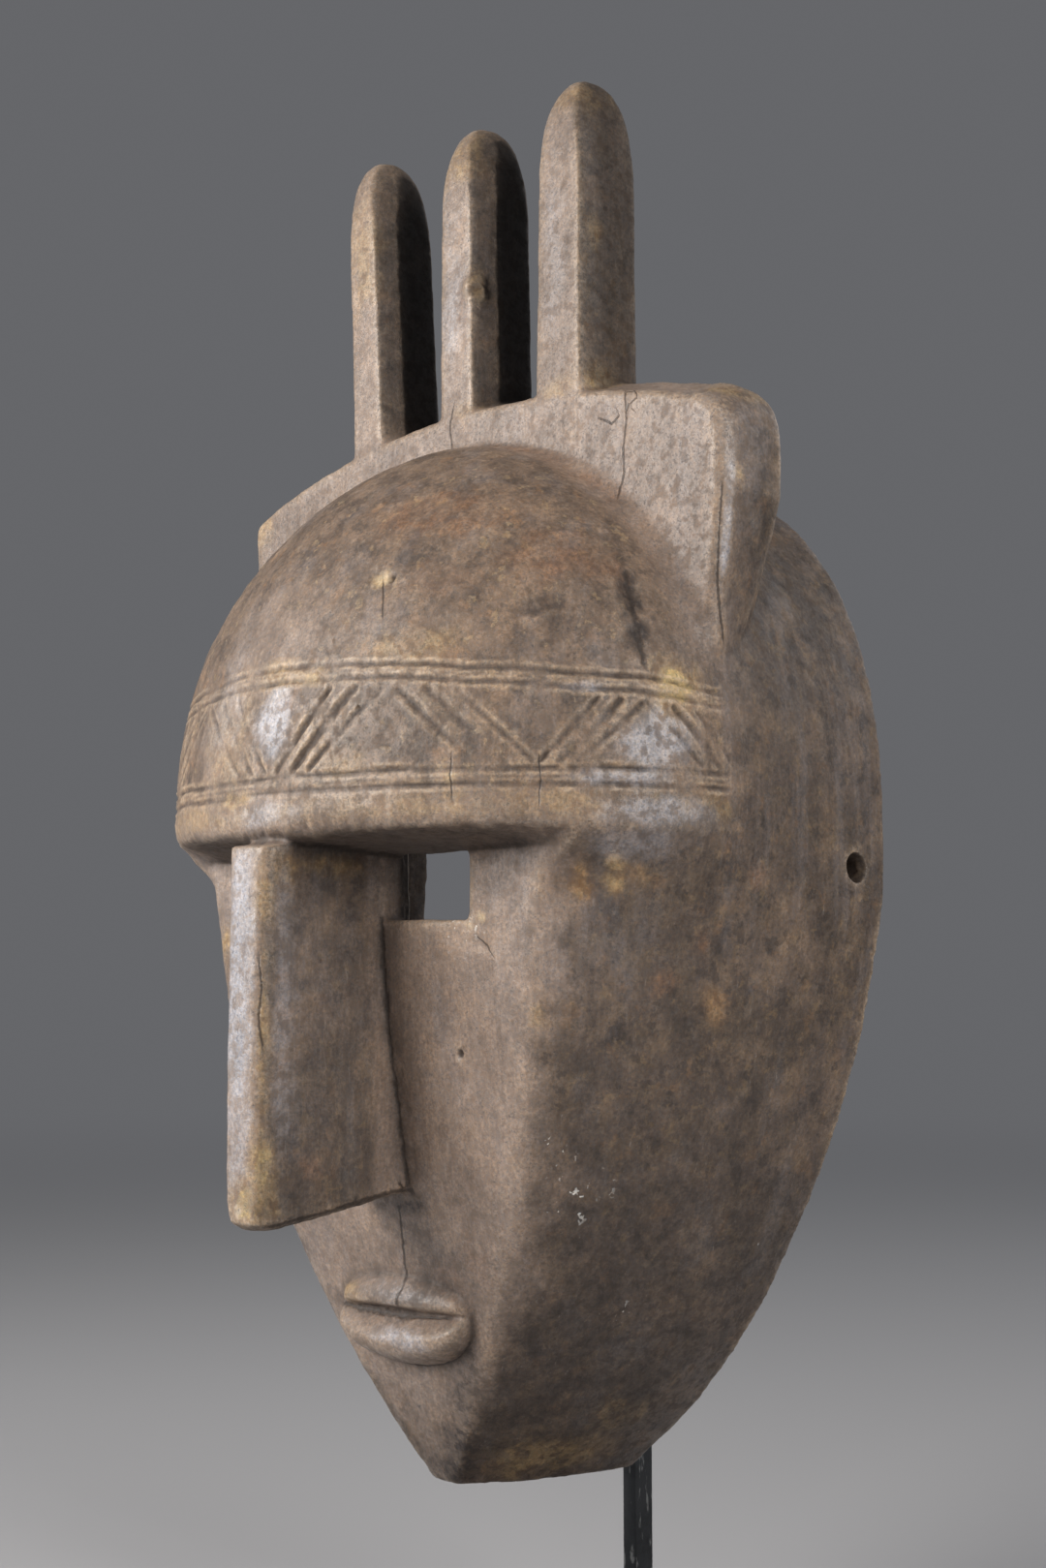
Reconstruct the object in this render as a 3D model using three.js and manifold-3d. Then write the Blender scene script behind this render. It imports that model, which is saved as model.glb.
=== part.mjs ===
// A carved wooden face mask with three horns, on a steel post with a square foot. Millimetres, +Z up.
// The face looks towards -Y and +X is the viewer's right. The origin is on the floor, under the middle.
import * as THREE from "three";
import { mergeVertices } from "three/addons/utils/BufferGeometryUtils.js";
import Module from "manifold-3d";

// Places are worked out from the eye line and the face's front plane, then lifted onto the stand.
const EYE_LINE_HEIGHT = 372;
const FACE_PLANE_Y = -70;

// Face and sides below the brow
const FACE_HALF_WIDTH = 103;
const CHIN_DROP = 262;
const CHIN_BOTTOM = -253;
const CHIN_BOTTOM_SLOPE = 4.5;
const CHIN_HALF_WIDTH = 12;
const FACE_SLOPE_BACK = 50;
const RIM_HALF_WIDTH = 150;
const RIM_DROP = 267;
const RIM_DEPTH = 160;
const RIM_FORWARD_AT_CHIN = 26;
const WALL = 13;
const FACE_WALL = 12;
const HOLLOW_OVERRUN = 20;

// Forehead dome and the arch behind it
const DOME_HALF_WIDTH = 147;
const DOME_REACH = 108;
const DOME_CENTRE = 20;
const DOME_RISE = 170;
const DOME_WALL = 18;
const BROW_EDGE = 16;
const BROW_UNDERSIDE = 8;
const BROW_CORNER_TURN = 54.7;

// Crest board and horns
const CREST_FRONT = 55;
const CREST_THICKNESS = 35;
const CREST_TOP = 207;
const CREST_HALF_WIDTH = 150;
const CREST_BACK_LIFT = 8;
const CREST_BACK_WIDER = 3;
const HORN_TOP = 343;
const HORN_DEPTH = 34;
const HORN_CAP = 26;
const HORNS = [
  { foot: -62.5, head: -71, width: 29, tall: 4 },
  { foot: -1.5, head: -4, width: 29, tall: 1 },
  { foot: 61.5, head: 61.5, width: 32, tall: 2 },
];

// Nose, mouth, eyes and tie holes
const NOSE_FRONT = -61.5;
const NOSE_HALF_WIDTH = 12.3;
const NOSE_ROOT_HALF_WIDTH = 12.5;
const NOSE_FOOT_FLARE = 5.5;
const NOSE_BRIDGE_DEEPER = 6;
const NOSE_BOTTOM = -136;
const MOUTH_MIDDLE = 2.5;
const MOUTH_HEIGHT = -182;
const MOUTH_HALF_WIDTH = 39;
const MOUTH_TILT = 0.05;
const EYE_INNER = 13.5;
const EYE_OUTER = 64;
const EYE_BOTTOM = -20;
const EYE_TOP = 7.5;
const TIE_HOLE_RADIUS = 6;
const TIE_HOLE_DEPTH = 141;
const TIE_HOLE_HEIGHT = 2;

// Carved band round the forehead
const GROOVE_HALF_WIDTH = 1.6;
const GROOVE_DEEP = 1.7;
const BAND_LOW = 29.5;
const BAND_LOW_GAP = 7;
const BAND_HIGH = 81.5;
const BAND_HIGH_GAP = 5.5;
const BAND_DROP = 13;
const STROKE_LOW = 39;
const STROKE_HIGH = 67;
const STROKE_HIGH_DROP = 0.1;
const STROKE_CENTRE = 3;
const LEG_TURN = 21.75;
const STROKE_TURN = 13;
const STROKE_SPACING = 3.5;

// Steel post and foot
const POST_WIDTH = 8;
const POST_DEPTH = 12;
const POST_FRONT = 165;
const POST_TOP = 150;
const CHIN_ARM_HEIGHT = -200;
const FOOT_TOP = -362;
const FOOT_THICKNESS = 10;
const FOOT_BEVEL = 2;
const FOOT_HALF_WIDTH = 80;
const FOOT_FRONT = -6;
const FOOT_BACK = 201.4;
const CLEARANCE = 0.3;

const wasm = await Module();
wasm.setup();

function rad(degrees) {
  return (degrees * Math.PI) / 180;
}

function point(x, y, z) {
  return new THREE.Vector3(x, y, z);
}

// A closed solid from a geometry.
function solid(geometry) {
  const bare = geometry.clone();
  bare.deleteAttribute("normal");
  bare.deleteAttribute("uv");
  const merged = mergeVertices(bare, 1e-4);
  return new wasm.Manifold(
    new wasm.Mesh({
      numProp: 3,
      vertProperties: new Float32Array(merged.attributes.position.array),
      triVerts: new Uint32Array(merged.index.array),
    }),
  );
}

// Closed loops joined into one body with fanned ends. Each loop is counter-clockwise seen from the last one.
function loft(loops) {
  const n = loops[0].length;
  const centre = (loop) => loop.reduce((sum, p) => sum.add(p), point(0, 0, 0)).divideScalar(n);
  const points = [...loops.flat(), centre(loops[0]), centre(loops[loops.length - 1])];
  const index = [];
  for (let k = 0; k + 1 < loops.length; k++)
    for (let j = 0; j < n; j++) {
      const a = k * n + j;
      const b = k * n + ((j + 1) % n);
      index.push(a, b, b + n, a, b + n, a + n);
    }
  const top = (loops.length - 1) * n;
  for (let j = 0; j < n; j++) {
    const next = (j + 1) % n;
    index.push(points.length - 2, next, j, points.length - 1, top + j, top + next);
  }
  const geometry = new THREE.BufferGeometry();
  const numbers = points.flatMap((p) => [p.x, p.y, p.z]);
  geometry.setAttribute("position", new THREE.Float32BufferAttribute(numbers, 3));
  geometry.setIndex(index);
  return solid(geometry);
}

function box(x0, x1, y0, y1, z0, z1) {
  const geometry = new THREE.BoxGeometry(x1 - x0, y1 - y0, z1 - z0);
  geometry.translate((x0 + x1) / 2, (y0 + y1) / 2, (z0 + z1) / 2);
  return solid(geometry);
}

function smooth(amount) {
  const share = Math.min(1, Math.max(0, amount));
  return share * share * (3 - 2 * share);
}

// How far down the face a height is: 0 at the eye line, 1 at the chin's end.
function drop(z) {
  return Math.min(1, Math.max(0, -z / CHIN_DROP));
}

function faceHalfWidth(z) {
  const flare = z > 0 ? (z / BROW_UNDERSIDE) * 3 : 0;
  return Math.max(CHIN_HALF_WIDTH, FACE_HALF_WIDTH * (1 - drop(z) ** 2) + 2 * drop(z) ** 4) + flare;
}

function faceFront(z) {
  return FACE_SLOPE_BACK * drop(z) ** 2;
}

function rimHalfWidth(z) {
  return RIM_HALF_WIDTH * (1 - Math.min(1, Math.max(0, -z / RIM_DROP)) ** 1.7) ** 0.6;
}

function rimDepth(z) {
  return RIM_DEPTH - RIM_FORWARD_AT_CHIN * drop(z) ** 1.1;
}

// Share of the way up the dome, then the shares of its width, its reach and its back arch left there.
function climb(z, rise) {
  return Math.min(1, Math.max(0, (z - DOME_CENTRE) / rise));
}

function widthShare(z, rise) {
  return (1 - climb(z, rise) ** 2.5) ** 0.6;
}

function reachShare(z, rise) {
  return (1 - climb(z, rise) ** 2.3) ** 0.65;
}

function archShare(z, rise) {
  return (1 - climb(z, rise) ** 2.4) ** 0.42;
}

// Stations round one half of a level section: face, brow turn, side.
const FACE_SHARES = [0, 0.2, 0.4, 0.6, 0.8, 0.94, 1];
const SIDE_SHARES = [0.06, 0.14, 0.23, 0.34, 0.5, 0.67, 0.84, 1];
const TURNS = [0, 0.17, 0.34, 0.51, 0.68, 0.85, 1].map((share) => share * BROW_CORNER_TURN);
for (const share of [0.25, 0.5, 0.75, 1]) TURNS.push(BROW_CORNER_TURN + share * (90 - BROW_CORNER_TURN));
const BACK_SHARES = [0.25, 0.5, 0.75, 1];

// Half of a section through face and side, inset by a wall when it is the hollow's.
function faceHalf(z, wall, faceWall, reach) {
  const b = Math.max(4, faceHalfWidth(z) - wall * 0.75);
  const front = faceFront(z) + faceWall;
  const rim = rimHalfWidth(z) - wall;
  const depth = rimDepth(z) + reach;
  const fullness = 1.9 + 1.1 * Math.exp(z / 60);
  const half = FACE_SHARES.map((share) => point(b * share, front + (share === 1 ? 1.2 : 0), z));
  for (const share of SIDE_SHARES)
    half.push(point(b + (rim - b) * (1 - (1 - share) ** fullness), front + (depth - front) * share, z));
  // Just below the brow the side swells out to meet the dome, sooner towards the back.
  const dome = domeHalf(always(z), always(0), wall, wall ? DOME_WALL : 0, reach);
  SIDE_SHARES.forEach((share, i) => {
    const startsAt = -8 - 34 * smooth(share / 0.45);
    const fullAt = 17 + 11 * smooth(share / 0.3) + (wall ? 10 : 0);
    half[FACE_SHARES.length + i].lerp(
      dome[FACE_SHARES.length + i],
      smooth((z - startsAt) / (fullAt - startsAt)) ** 1.3,
    );
  });
  if (z < CHIN_BOTTOM + 12) {
    const part = (CHIN_BOTTOM + 12 - z) / 12;
    for (const p of half) p.z -= part * CHIN_BOTTOM_SLOPE * ((p.y - front) / (depth - front));
  }
  return half;
}

// Half of a section through the dome and the arch behind it. height and inset may change round the turn.
function domeHalf(height, inset, wall, domeWall, reach) {
  const rise = DOME_RISE - (wall ? DOME_WALL : 0);
  const half = TURNS.map((turn) => {
    const z = height(turn);
    const width = (DOME_HALF_WIDTH - wall) * widthShare(z, rise) - inset(turn);
    const ahead = (DOME_REACH - domeWall) * reachShare(z, rise) - inset(turn);
    return point(width * Math.sin(rad(turn)), CREST_FRONT - ahead * Math.cos(rad(turn)), z);
  });
  const z = height(90);
  const side = half[half.length - 1].x;
  const rim = (RIM_HALF_WIDTH - wall) * archShare(z, rise);
  for (const share of BACK_SHARES)
    half.push(
      point(side + (rim - side) * share, CREST_FRONT + (RIM_DEPTH + reach - CREST_FRONT) * share, z),
    );
  return half;
}

// A half section and its mirror image as one loop.
function bothSides(half) {
  const left = half.slice(1).reverse().map((p) => point(-p.x, p.y, p.z));
  return [...left, ...half];
}

function always(value) {
  return () => value;
}

// The upper double line dips towards the sides.
function bandHigh(turn) {
  return BAND_HIGH - BAND_DROP * ((Math.hypot(turn, 10) - 10) / 80);
}

function outerBody() {
  const loops = [];
  const levels = [CHIN_BOTTOM, -249, -241, -228, -210, -190, -165, -140, -115, -90, -65, -42, -24, -8];
  for (const z of [...levels, BROW_UNDERSIDE]) loops.push(bothSides(faceHalf(z, 0, 0, 0)));
  // The brow's rounded lower edge hangs a little lower in the middle.
  const edge = (amount) => (turn) =>
    turn <= BROW_CORNER_TURN ? amount * (1 - 0.7 * (turn / BROW_CORNER_TURN)) : 0;
  const sag = (height) => (turn) => height - 4 * Math.max(0, 1 - turn / 40) ** 1.5;
  const below = faceHalf(BROW_UNDERSIDE, 0, 0, 0);
  for (const [lift, inset, share] of [[-2, 9, 0.35], [1, 3.5, 0.55], [7, 0.5, 0.85]]) {
    const half = domeHalf(sag(BROW_EDGE + lift), edge(inset), 0, 0, 0);
    for (let i = FACE_SHARES.length; i < half.length; i++) {
      const z = half[i].z;
      half[i].lerp(below[i], 1 - share);
      half[i].z = z;
    }
    loops.push(bothSides(half));
  }
  const groove = (turn) => (turn <= 86 ? GROOVE_DEEP : 0);
  const lines = [
    always(BAND_LOW),
    always(BAND_LOW + BAND_LOW_GAP),
    (turn) => bandHigh(turn) - BAND_HIGH_GAP,
    bandHigh,
  ];
  for (const line of lines)
    for (const side of [-1, 0, 1]) {
      const height = (turn) => line(turn) + side * GROOVE_HALF_WIDTH;
      loops.push(bothSides(domeHalf(height, side ? always(0) : groove, 0, 0, 0)));
    }
  for (const angle of [29, 36, 43, 50, 57, 64, 71, 77, 82, 86, 88.5]) {
    const height = always(DOME_CENTRE + DOME_RISE * Math.sin(rad(angle)));
    loops.push(bothSides(domeHalf(height, always(0), 0, 0, 0)));
  }
  return loft(loops);
}

function hollow() {
  const loops = [];
  for (const z of [-238, -215, -185, -150, -115, -80, -45, -15, BROW_UNDERSIDE])
    loops.push(bothSides(faceHalf(z, WALL, FACE_WALL, HOLLOW_OVERRUN)));
  const rise = DOME_RISE - DOME_WALL;
  const heights = [38, 62];
  for (const angle of [27, 40, 52, 63, 74, 86]) heights.push(DOME_CENTRE + rise * Math.sin(rad(angle)));
  for (const z of heights)
    loops.push(bothSides(domeHalf(always(z), always(0), WALL, DOME_WALL, HOLLOW_OVERRUN)));
  return loft(loops);
}

// The crest board. Its back outline stands a little higher and wider than its front one.
function crest() {
  const outline = (y, lift, wider, corner, taper) => {
    const half = CREST_HALF_WIDTH + wider;
    const rightLift = (x) => lift * (0.35 + 0.325 * (1 + Math.tanh(x / 60)));
    const top = (x) => CREST_TOP - 25 * (x / CREST_HALF_WIDTH) ** 2 + rightLift(x);
    const places = [[-128, 30]];
    for (const [x, z] of [[120, 30], [137, 52], [143, 86], [147 + wider / 2, 122], [half, 148]])
      places.push([x - taper * (150 - z), z]);
    for (let turn = 0; turn <= 90; turn += 18)
      places.push([
        half - corner + corner * Math.cos(rad(turn)),
        top(half - corner) - corner + corner * Math.sin(rad(turn)),
      ]);
    for (let x = 100; x >= -135; x -= 23.5) places.push([x, top(x)]);
    places.push([-half + 3, top(-half) + 0.5], [-half, top(-half) - 3]);
    for (const [x, z] of [[half - 1, 150], [147, 122], [142, 86], [136, 52]])
      places.push([-x + taper * (150 - z), z]);
    return places.map(([x, z]) => point(x, y, z));
  };
  const front = outline(CREST_FRONT, 0, 0, 17, 0);
  const middle = outline(CREST_FRONT + CREST_THICKNESS * 0.6, CREST_BACK_LIFT, CREST_BACK_WIDER - 1, 24, 0.07);
  const back = outline(CREST_FRONT + CREST_THICKNESS + 1, CREST_BACK_LIFT, CREST_BACK_WIDER, 26, 0.16);
  return loft([back, middle, front]);
}

// One finger-like horn: a rectangle with cut corners, rounded over at the head.
function horn({ foot, head, width, tall }) {
  const base = CREST_TOP - 22;
  const tip = HORN_TOP + tall;
  const capStart = tip - HORN_CAP;
  const loops = [];
  const heights = [base, base + 30, base + 70, capStart];
  for (const angle of [22, 42, 60, 75, 88]) heights.push(capStart + HORN_CAP * Math.sin(rad(angle)));
  for (const z of heights) {
    const up = (z - base) / (tip - base);
    const over = Math.max(0, z - capStart) / HORN_CAP;
    const shrink = (1 - over ** 2.3) ** 0.46;
    const middle = foot + (head - foot) * up;
    const halfX = (width / 2) * (1.08 - 0.11 * up) * shrink;
    const halfY = (HORN_DEPTH / 2) * (1 - 0.03 * up) * (0.12 + 0.88 * shrink);
    const cutX = halfX * 0.42;
    const cutY = halfY * 0.28;
    const y = CREST_FRONT + HORN_DEPTH / 2 + 0.5;
    loops.push([
      point(middle - halfX, y + halfY - cutY, z),
      point(middle - halfX, y - halfY + cutY, z),
      point(middle - halfX + cutX, y - halfY, z),
      point(middle + halfX - cutX, y - halfY, z),
      point(middle + halfX, y - halfY + cutY, z),
      point(middle + halfX, y + halfY - cutY, z),
      point(middle + halfX - cutX, y + halfY, z),
      point(middle - halfX + cutX, y + halfY, z),
    ]);
  }
  return loft(loops);
}

// The long nose wedge. Its underside rises towards the face and its top is tucked under the brow.
function nose() {
  const span = BROW_EDGE - 10 - NOSE_BOTTOM;
  const loops = [];
  for (const level of [-0.02, 0.03, 0.12, 0.3, 0.5, 0.7, 0.9, 1.03, 1.04]) {
    const last = level > 1.035;
    const tip = level < 0 ? 1 : 0;
    const front = NOSE_HALF_WIDTH * (1 - 0.35 * tip) + 3 * Math.max(0, level - 0.75);
    const root = NOSE_ROOT_HALF_WIDTH + NOSE_FOOT_FLARE * smooth((0.85 - level) / 0.8);
    const frontZ = NOSE_BOTTOM + span * level;
    const rootZ = NOSE_BOTTOM + 12 + (span - 8) * level;
    const ahead = last ? -44 : NOSE_FRONT + 4 * tip + 4 * Math.abs(level - 0.45) ** 1.5;
    const behind = faceFront(rootZ) + FACE_WALL - 1 + NOSE_BRIDGE_DEEPER * smooth((rootZ + 60) / 40);
    const cut = 3 + tip;
    loops.push([
      point(-root, behind, rootZ),
      point(-front, ahead + cut, frontZ),
      point(-front + cut, ahead, frontZ),
      point(front - cut, ahead, frontZ),
      point(front, ahead + cut, frontZ),
      point(root, behind, rootZ),
    ]);
  }
  return loft(loops);
}

// A thin flat upper lip over a full lower lip with a ledge that faces up. The profile gives out and up.
function mouth() {
  const profile = [
    [9, 15.5],
    [0.5, 15],
    [-4, 12],
    [-8, 5.5],
    [-7, 3],
    [-4, 1.5],
    [-8, -3],
    [-13, -8.5],
    [-13.5, -13],
    [-9, -18],
    [0, -21.5],
    [9, -21.5],
  ];
  const loops = [];
  for (let turn = -85; turn <= 85; turn += 17) {
    const x = MOUTH_HALF_WIDTH * Math.sin(rad(turn));
    const share = Math.cos(rad(turn));
    loops.push(
      profile.map(([out, up]) => {
        const full = 0.12 + 0.88 * share ** (up > 0 ? 0.95 : 0.55);
        const z = MOUTH_HEIGHT + MOUTH_TILT * x + 2.5 * (1 - share) + up * full;
        return point(MOUTH_MIDDLE + x, faceFront(z) + (out < 0 ? out * share ** 0.6 : out), z);
      }),
    );
  }
  return loft(loops);
}

function domePoint(turn, z, out) {
  return point(
    (DOME_HALF_WIDTH * widthShare(z, DOME_RISE) + out) * Math.sin(rad(turn)),
    CREST_FRONT - (DOME_REACH * reachShare(z, DOME_RISE) + out) * Math.cos(rad(turn)),
    z,
  );
}

// One cut stroke on the dome, from one turn and height to another, as a wedge sunk in the surface.
function stroke(turnA, zA, turnB, zB) {
  const along = domePoint(turnB, zB, 0).sub(domePoint(turnA, zA, 0)).normalize();
  const loops = [0, 0.5, 1].map((share) => {
    const turn = turnA + (turnB - turnA) * share;
    const z = zA + (zB - zA) * share;
    const on = domePoint(turn, z, 0);
    const out = domePoint(turn, z, 1).sub(domePoint(turn, z, -1)).normalize();
    const across = out.clone().cross(along).normalize();
    const at = (side, lift) => on.clone().addScaledVector(across, side).addScaledVector(out, lift);
    return [at(0, -GROOVE_DEEP), at(GROOVE_HALF_WIDTH * 2.2, 2), at(-GROOVE_HALF_WIDTH * 2.2, 2)];
  });
  return loft(loops);
}

// Legs of three strokes each, up and down by turns, to both sides of the band's middle.
function strokes() {
  const cuts = [];
  for (const side of [-1, 1])
    for (let leg = 0; leg < 4; leg++)
      for (let place = 0; place < 3; place++) {
        const start = STROKE_CENTRE + side * (LEG_TURN * leg + 1.5 + STROKE_SPACING * place);
        const end = start + side * STROKE_TURN;
        const high = (turn) => STROKE_HIGH - STROKE_HIGH_DROP * Math.abs(turn);
        if (leg % 2 === 0) cuts.push(stroke(start, STROKE_LOW, end, high(end)));
        else cuts.push(stroke(start, high(start), end, STROKE_LOW));
      }
  return cuts;
}

function makeMask() {
  let body = outerBody().add(crest());
  for (const one of HORNS) body = body.add(horn(one));
  body = body.add(mouth()).subtract(hollow()).add(nose());
  for (const side of [-1, 1]) {
    const [a, b] = side > 0 ? [EYE_INNER, EYE_OUTER] : [-EYE_OUTER, -EYE_INNER];
    body = body.subtract(box(a, b, -6, 50, EYE_BOTTOM, EYE_TOP));
    const hole = new THREE.CylinderGeometry(TIE_HOLE_RADIUS, TIE_HOLE_RADIUS, 60, 12);
    hole.rotateZ(Math.PI / 2);
    hole.translate(side * 145, TIE_HOLE_DEPTH, TIE_HOLE_HEIGHT);
    body = body.subtract(solid(hole));
  }
  for (const cut of strokes()) body = body.subtract(cut);
  return body.asOriginal().simplify(0.03);
}

function makePost() {
  const x = POST_WIDTH / 2;
  const ceiling = DOME_CENTRE + (DOME_RISE - DOME_WALL) * Math.sin(rad(86));
  const prongBack = CREST_FRONT + CREST_THICKNESS;
  const chinInside = faceFront(CHIN_ARM_HEIGHT) + FACE_WALL;
  let post = box(-x, x, POST_FRONT, POST_FRONT + POST_DEPTH, FOOT_TOP + CLEARANCE, POST_TOP);
  post = post.add(box(-x, x, prongBack - POST_DEPTH, POST_FRONT + 1, POST_TOP - POST_DEPTH, POST_TOP));
  post = post.add(box(-x, x, prongBack - POST_DEPTH, prongBack, POST_TOP - 1, ceiling - CLEARANCE));
  post = post.add(
    box(-x, x, chinInside + 3 + CLEARANCE, POST_FRONT + 1, CHIN_ARM_HEIGHT - 6, CHIN_ARM_HEIGHT + 6),
  );
  return post;
}

// A square plate with a small bevel round its upper edge.
function makeFoot() {
  const bottom = FOOT_TOP - FOOT_THICKNESS;
  const ring = (inset, z) => [
    point(-FOOT_HALF_WIDTH + inset, FOOT_FRONT + inset, z),
    point(FOOT_HALF_WIDTH - inset, FOOT_FRONT + inset, z),
    point(FOOT_HALF_WIDTH - inset, FOOT_BACK - inset, z),
    point(-FOOT_HALF_WIDTH + inset, FOOT_BACK - inset, z),
  ];
  return loft([ring(0, bottom), ring(0, FOOT_TOP - FOOT_BEVEL), ring(FOOT_BEVEL, FOOT_TOP)]);
}

function meshOf(body, name, material) {
  const data = body.getMesh();
  const positions = data.vertProperties.filter((value, i) => i % data.numProp < 3);
  const geometry = new THREE.BufferGeometry();
  geometry.setAttribute("position", new THREE.BufferAttribute(positions, 3));
  geometry.setIndex(new THREE.BufferAttribute(new Uint32Array(data.triVerts), 1));
  geometry.translate(0, FACE_PLANE_Y, EYE_LINE_HEIGHT);
  geometry.computeVertexNormals();
  const mesh = new THREE.Mesh(geometry, material);
  mesh.name = name;
  return mesh;
}

const wood = new THREE.MeshStandardMaterial({ color: 0x6b5848, roughness: 0.75 });
const postSteel = new THREE.MeshStandardMaterial({ color: 0x2b2b2d, roughness: 0.5, metalness: 0.8 });
const footSteel = new THREE.MeshStandardMaterial({ color: 0x242426, roughness: 0.55, metalness: 0.8 });

const model = new THREE.Group();
model.add(meshOf(makeMask(), "mask", wood));
model.add(meshOf(makePost(), "stand_post", postSteel));
model.add(meshOf(makeFoot(), "stand_foot", footSteel));

export default model;
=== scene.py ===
# A carved wooden face mask with three horns, on a steel post with a square foot.
# Shapes are worked out in millimetres from the eye line and the face's front plane, then placed in metres.
import itertools
import json
import math

import bmesh
import bpy
import numpy as np
from mathutils import Matrix, Vector


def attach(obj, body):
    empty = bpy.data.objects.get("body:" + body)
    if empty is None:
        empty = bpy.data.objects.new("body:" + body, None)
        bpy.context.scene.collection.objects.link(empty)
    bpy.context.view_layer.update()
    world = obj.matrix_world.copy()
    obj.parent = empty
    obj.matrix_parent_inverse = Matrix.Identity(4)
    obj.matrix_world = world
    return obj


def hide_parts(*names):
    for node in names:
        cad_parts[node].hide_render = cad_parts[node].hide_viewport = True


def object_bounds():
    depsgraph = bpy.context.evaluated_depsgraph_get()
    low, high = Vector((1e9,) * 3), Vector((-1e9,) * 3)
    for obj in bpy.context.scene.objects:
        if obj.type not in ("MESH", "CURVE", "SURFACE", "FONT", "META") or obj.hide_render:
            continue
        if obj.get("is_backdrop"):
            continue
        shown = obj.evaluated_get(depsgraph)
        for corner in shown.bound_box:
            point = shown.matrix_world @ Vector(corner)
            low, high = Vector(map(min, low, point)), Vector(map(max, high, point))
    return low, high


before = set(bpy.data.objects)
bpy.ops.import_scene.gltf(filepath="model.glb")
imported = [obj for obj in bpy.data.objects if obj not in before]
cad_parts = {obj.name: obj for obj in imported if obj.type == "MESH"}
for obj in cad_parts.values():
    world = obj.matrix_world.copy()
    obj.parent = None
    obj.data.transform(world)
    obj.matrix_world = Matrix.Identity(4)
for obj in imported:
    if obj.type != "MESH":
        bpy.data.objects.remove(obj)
CAD_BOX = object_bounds()

MM = 0.001
EYE_LINE = (0.0, -70.0, 372.0)

# Face and sides below the brow
FACE_HALF_WIDTH = 103.0
CHIN_DROP = 262.0
CHIN_BOTTOM = -256.0
CHIN_BOTTOM_SLOPE = 4.5
CHIN_HALF_WIDTH = 8.0
FACE_SLOPE_BACK = 50.0
RIM_HALF_WIDTH = 150.0
RIM_DROP = 267.0
RIM_DEPTH = 160.0
RIM_FORWARD_AT_CHIN = 26.0
WALL = 13.0
FACE_WALL = 12.0
HOLLOW_OVERRUN = 20.0
HOLLOW_BOTTOM = -238.0
HOLLOW_TOP_ANGLE = 86
HOLLOW_AXIS = 95.0

# Forehead dome and the arch behind it
DOME_HALF_WIDTH = 147.0
DOME_REACH = 108.0
DOME_CENTRE = 20.0
DOME_RISE = 170.0
DOME_WALL = 18.0
BROW_EDGE = 14.0
BROW_ROLL = 9.0
BROW_SAG = 4.0
BROW_UNDERSIDE = 8.0
BROW_CORNER_TURN = 54.7

# Crest board and horns
CREST_FRONT = 55.0
CREST_THICKNESS = 35.0
CREST_TOP = 207.0
CREST_HALF_WIDTH = 150.0
CREST_BACK_LIFT = 8.0
CREST_BACK_WIDER = 3.0
HORN_TOP = 343.6
HORN_DEPTH = 35.0
HORN_CAP = 41.0
HORN_CORNER = 4.5
HORN_ROOT = 22.0
HORNS = (
    {"foot": -61.5, "head": -71.0, "width": 29.5, "tall": 6.0, "across": 8.0, "back": 9.0},
    {"foot": -0.6, "head": -3.1, "width": 30.5, "tall": 1.4, "across": 8.0, "back": 10.0},
    {"foot": 60.5, "head": 61.2, "width": 32.5, "tall": 2.2, "across": 5.0, "back": 20.0},
)

# Nose, mouth, eyes and tie holes. The nose's levels go from its foot to its root, and the mouth's profile
# gives how far out and how high.
NOSE_FRONT = -61.5
NOSE_HALF_WIDTH = 12.3
NOSE_ROOT_HALF_WIDTH = 12.5
NOSE_FOOT_FLARE = 5.5
NOSE_BRIDGE_DEEPER = 6.0
NOSE_BOTTOM = -137.8
NOSE_TUCK = -44.0
NOSE_LEVELS = (
    -0.02, -0.01, 0, 0.015, 0.03, 0.05, 0.08, 0.12, 0.25, 0.35, 0.5, 0.6, 0.7, 0.8, 0.9, 1.02, 1.035,
)
MOUTH_MIDDLE = 1.5
MOUTH_HEIGHT = -182.0
MOUTH_HALF_WIDTH = 37.0
MOUTH_RIGHT_LONGER = 4.0
MOUTH_TILT = 0.05
MOUTH_PROFILE = (
    (9, 15.5), (0.8, 15.5), (-2, 14.5), (-6, 10.5), (-8.5, 6.2), (-8, 4.2), (-4, 2.6), (-3.5, 1), (-7, -2.2),
    (-12.5, -7), (-14.5, -11), (-12.5, -16.5), (-5, -20.5), (1, -21.5), (9, -21.5),
)
EYE_INNER = 13.5
EYE_OUTER = 64.0
EYE_BOTTOM = -20.0
EYE_TOP = 7.5
EYE_CORNER = 2.0
EYE_CUT_FROM = -6.0
EYE_CUT_TO = 50.0
TIE_HOLE_RADIUS = 6.0
TIE_HOLE_LENGTH = 60.0
TIE_HOLE_ASIDE = 145.0
TIE_HOLE_DEPTH = 141.0
TIE_HOLE_HEIGHT = 2.0

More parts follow.
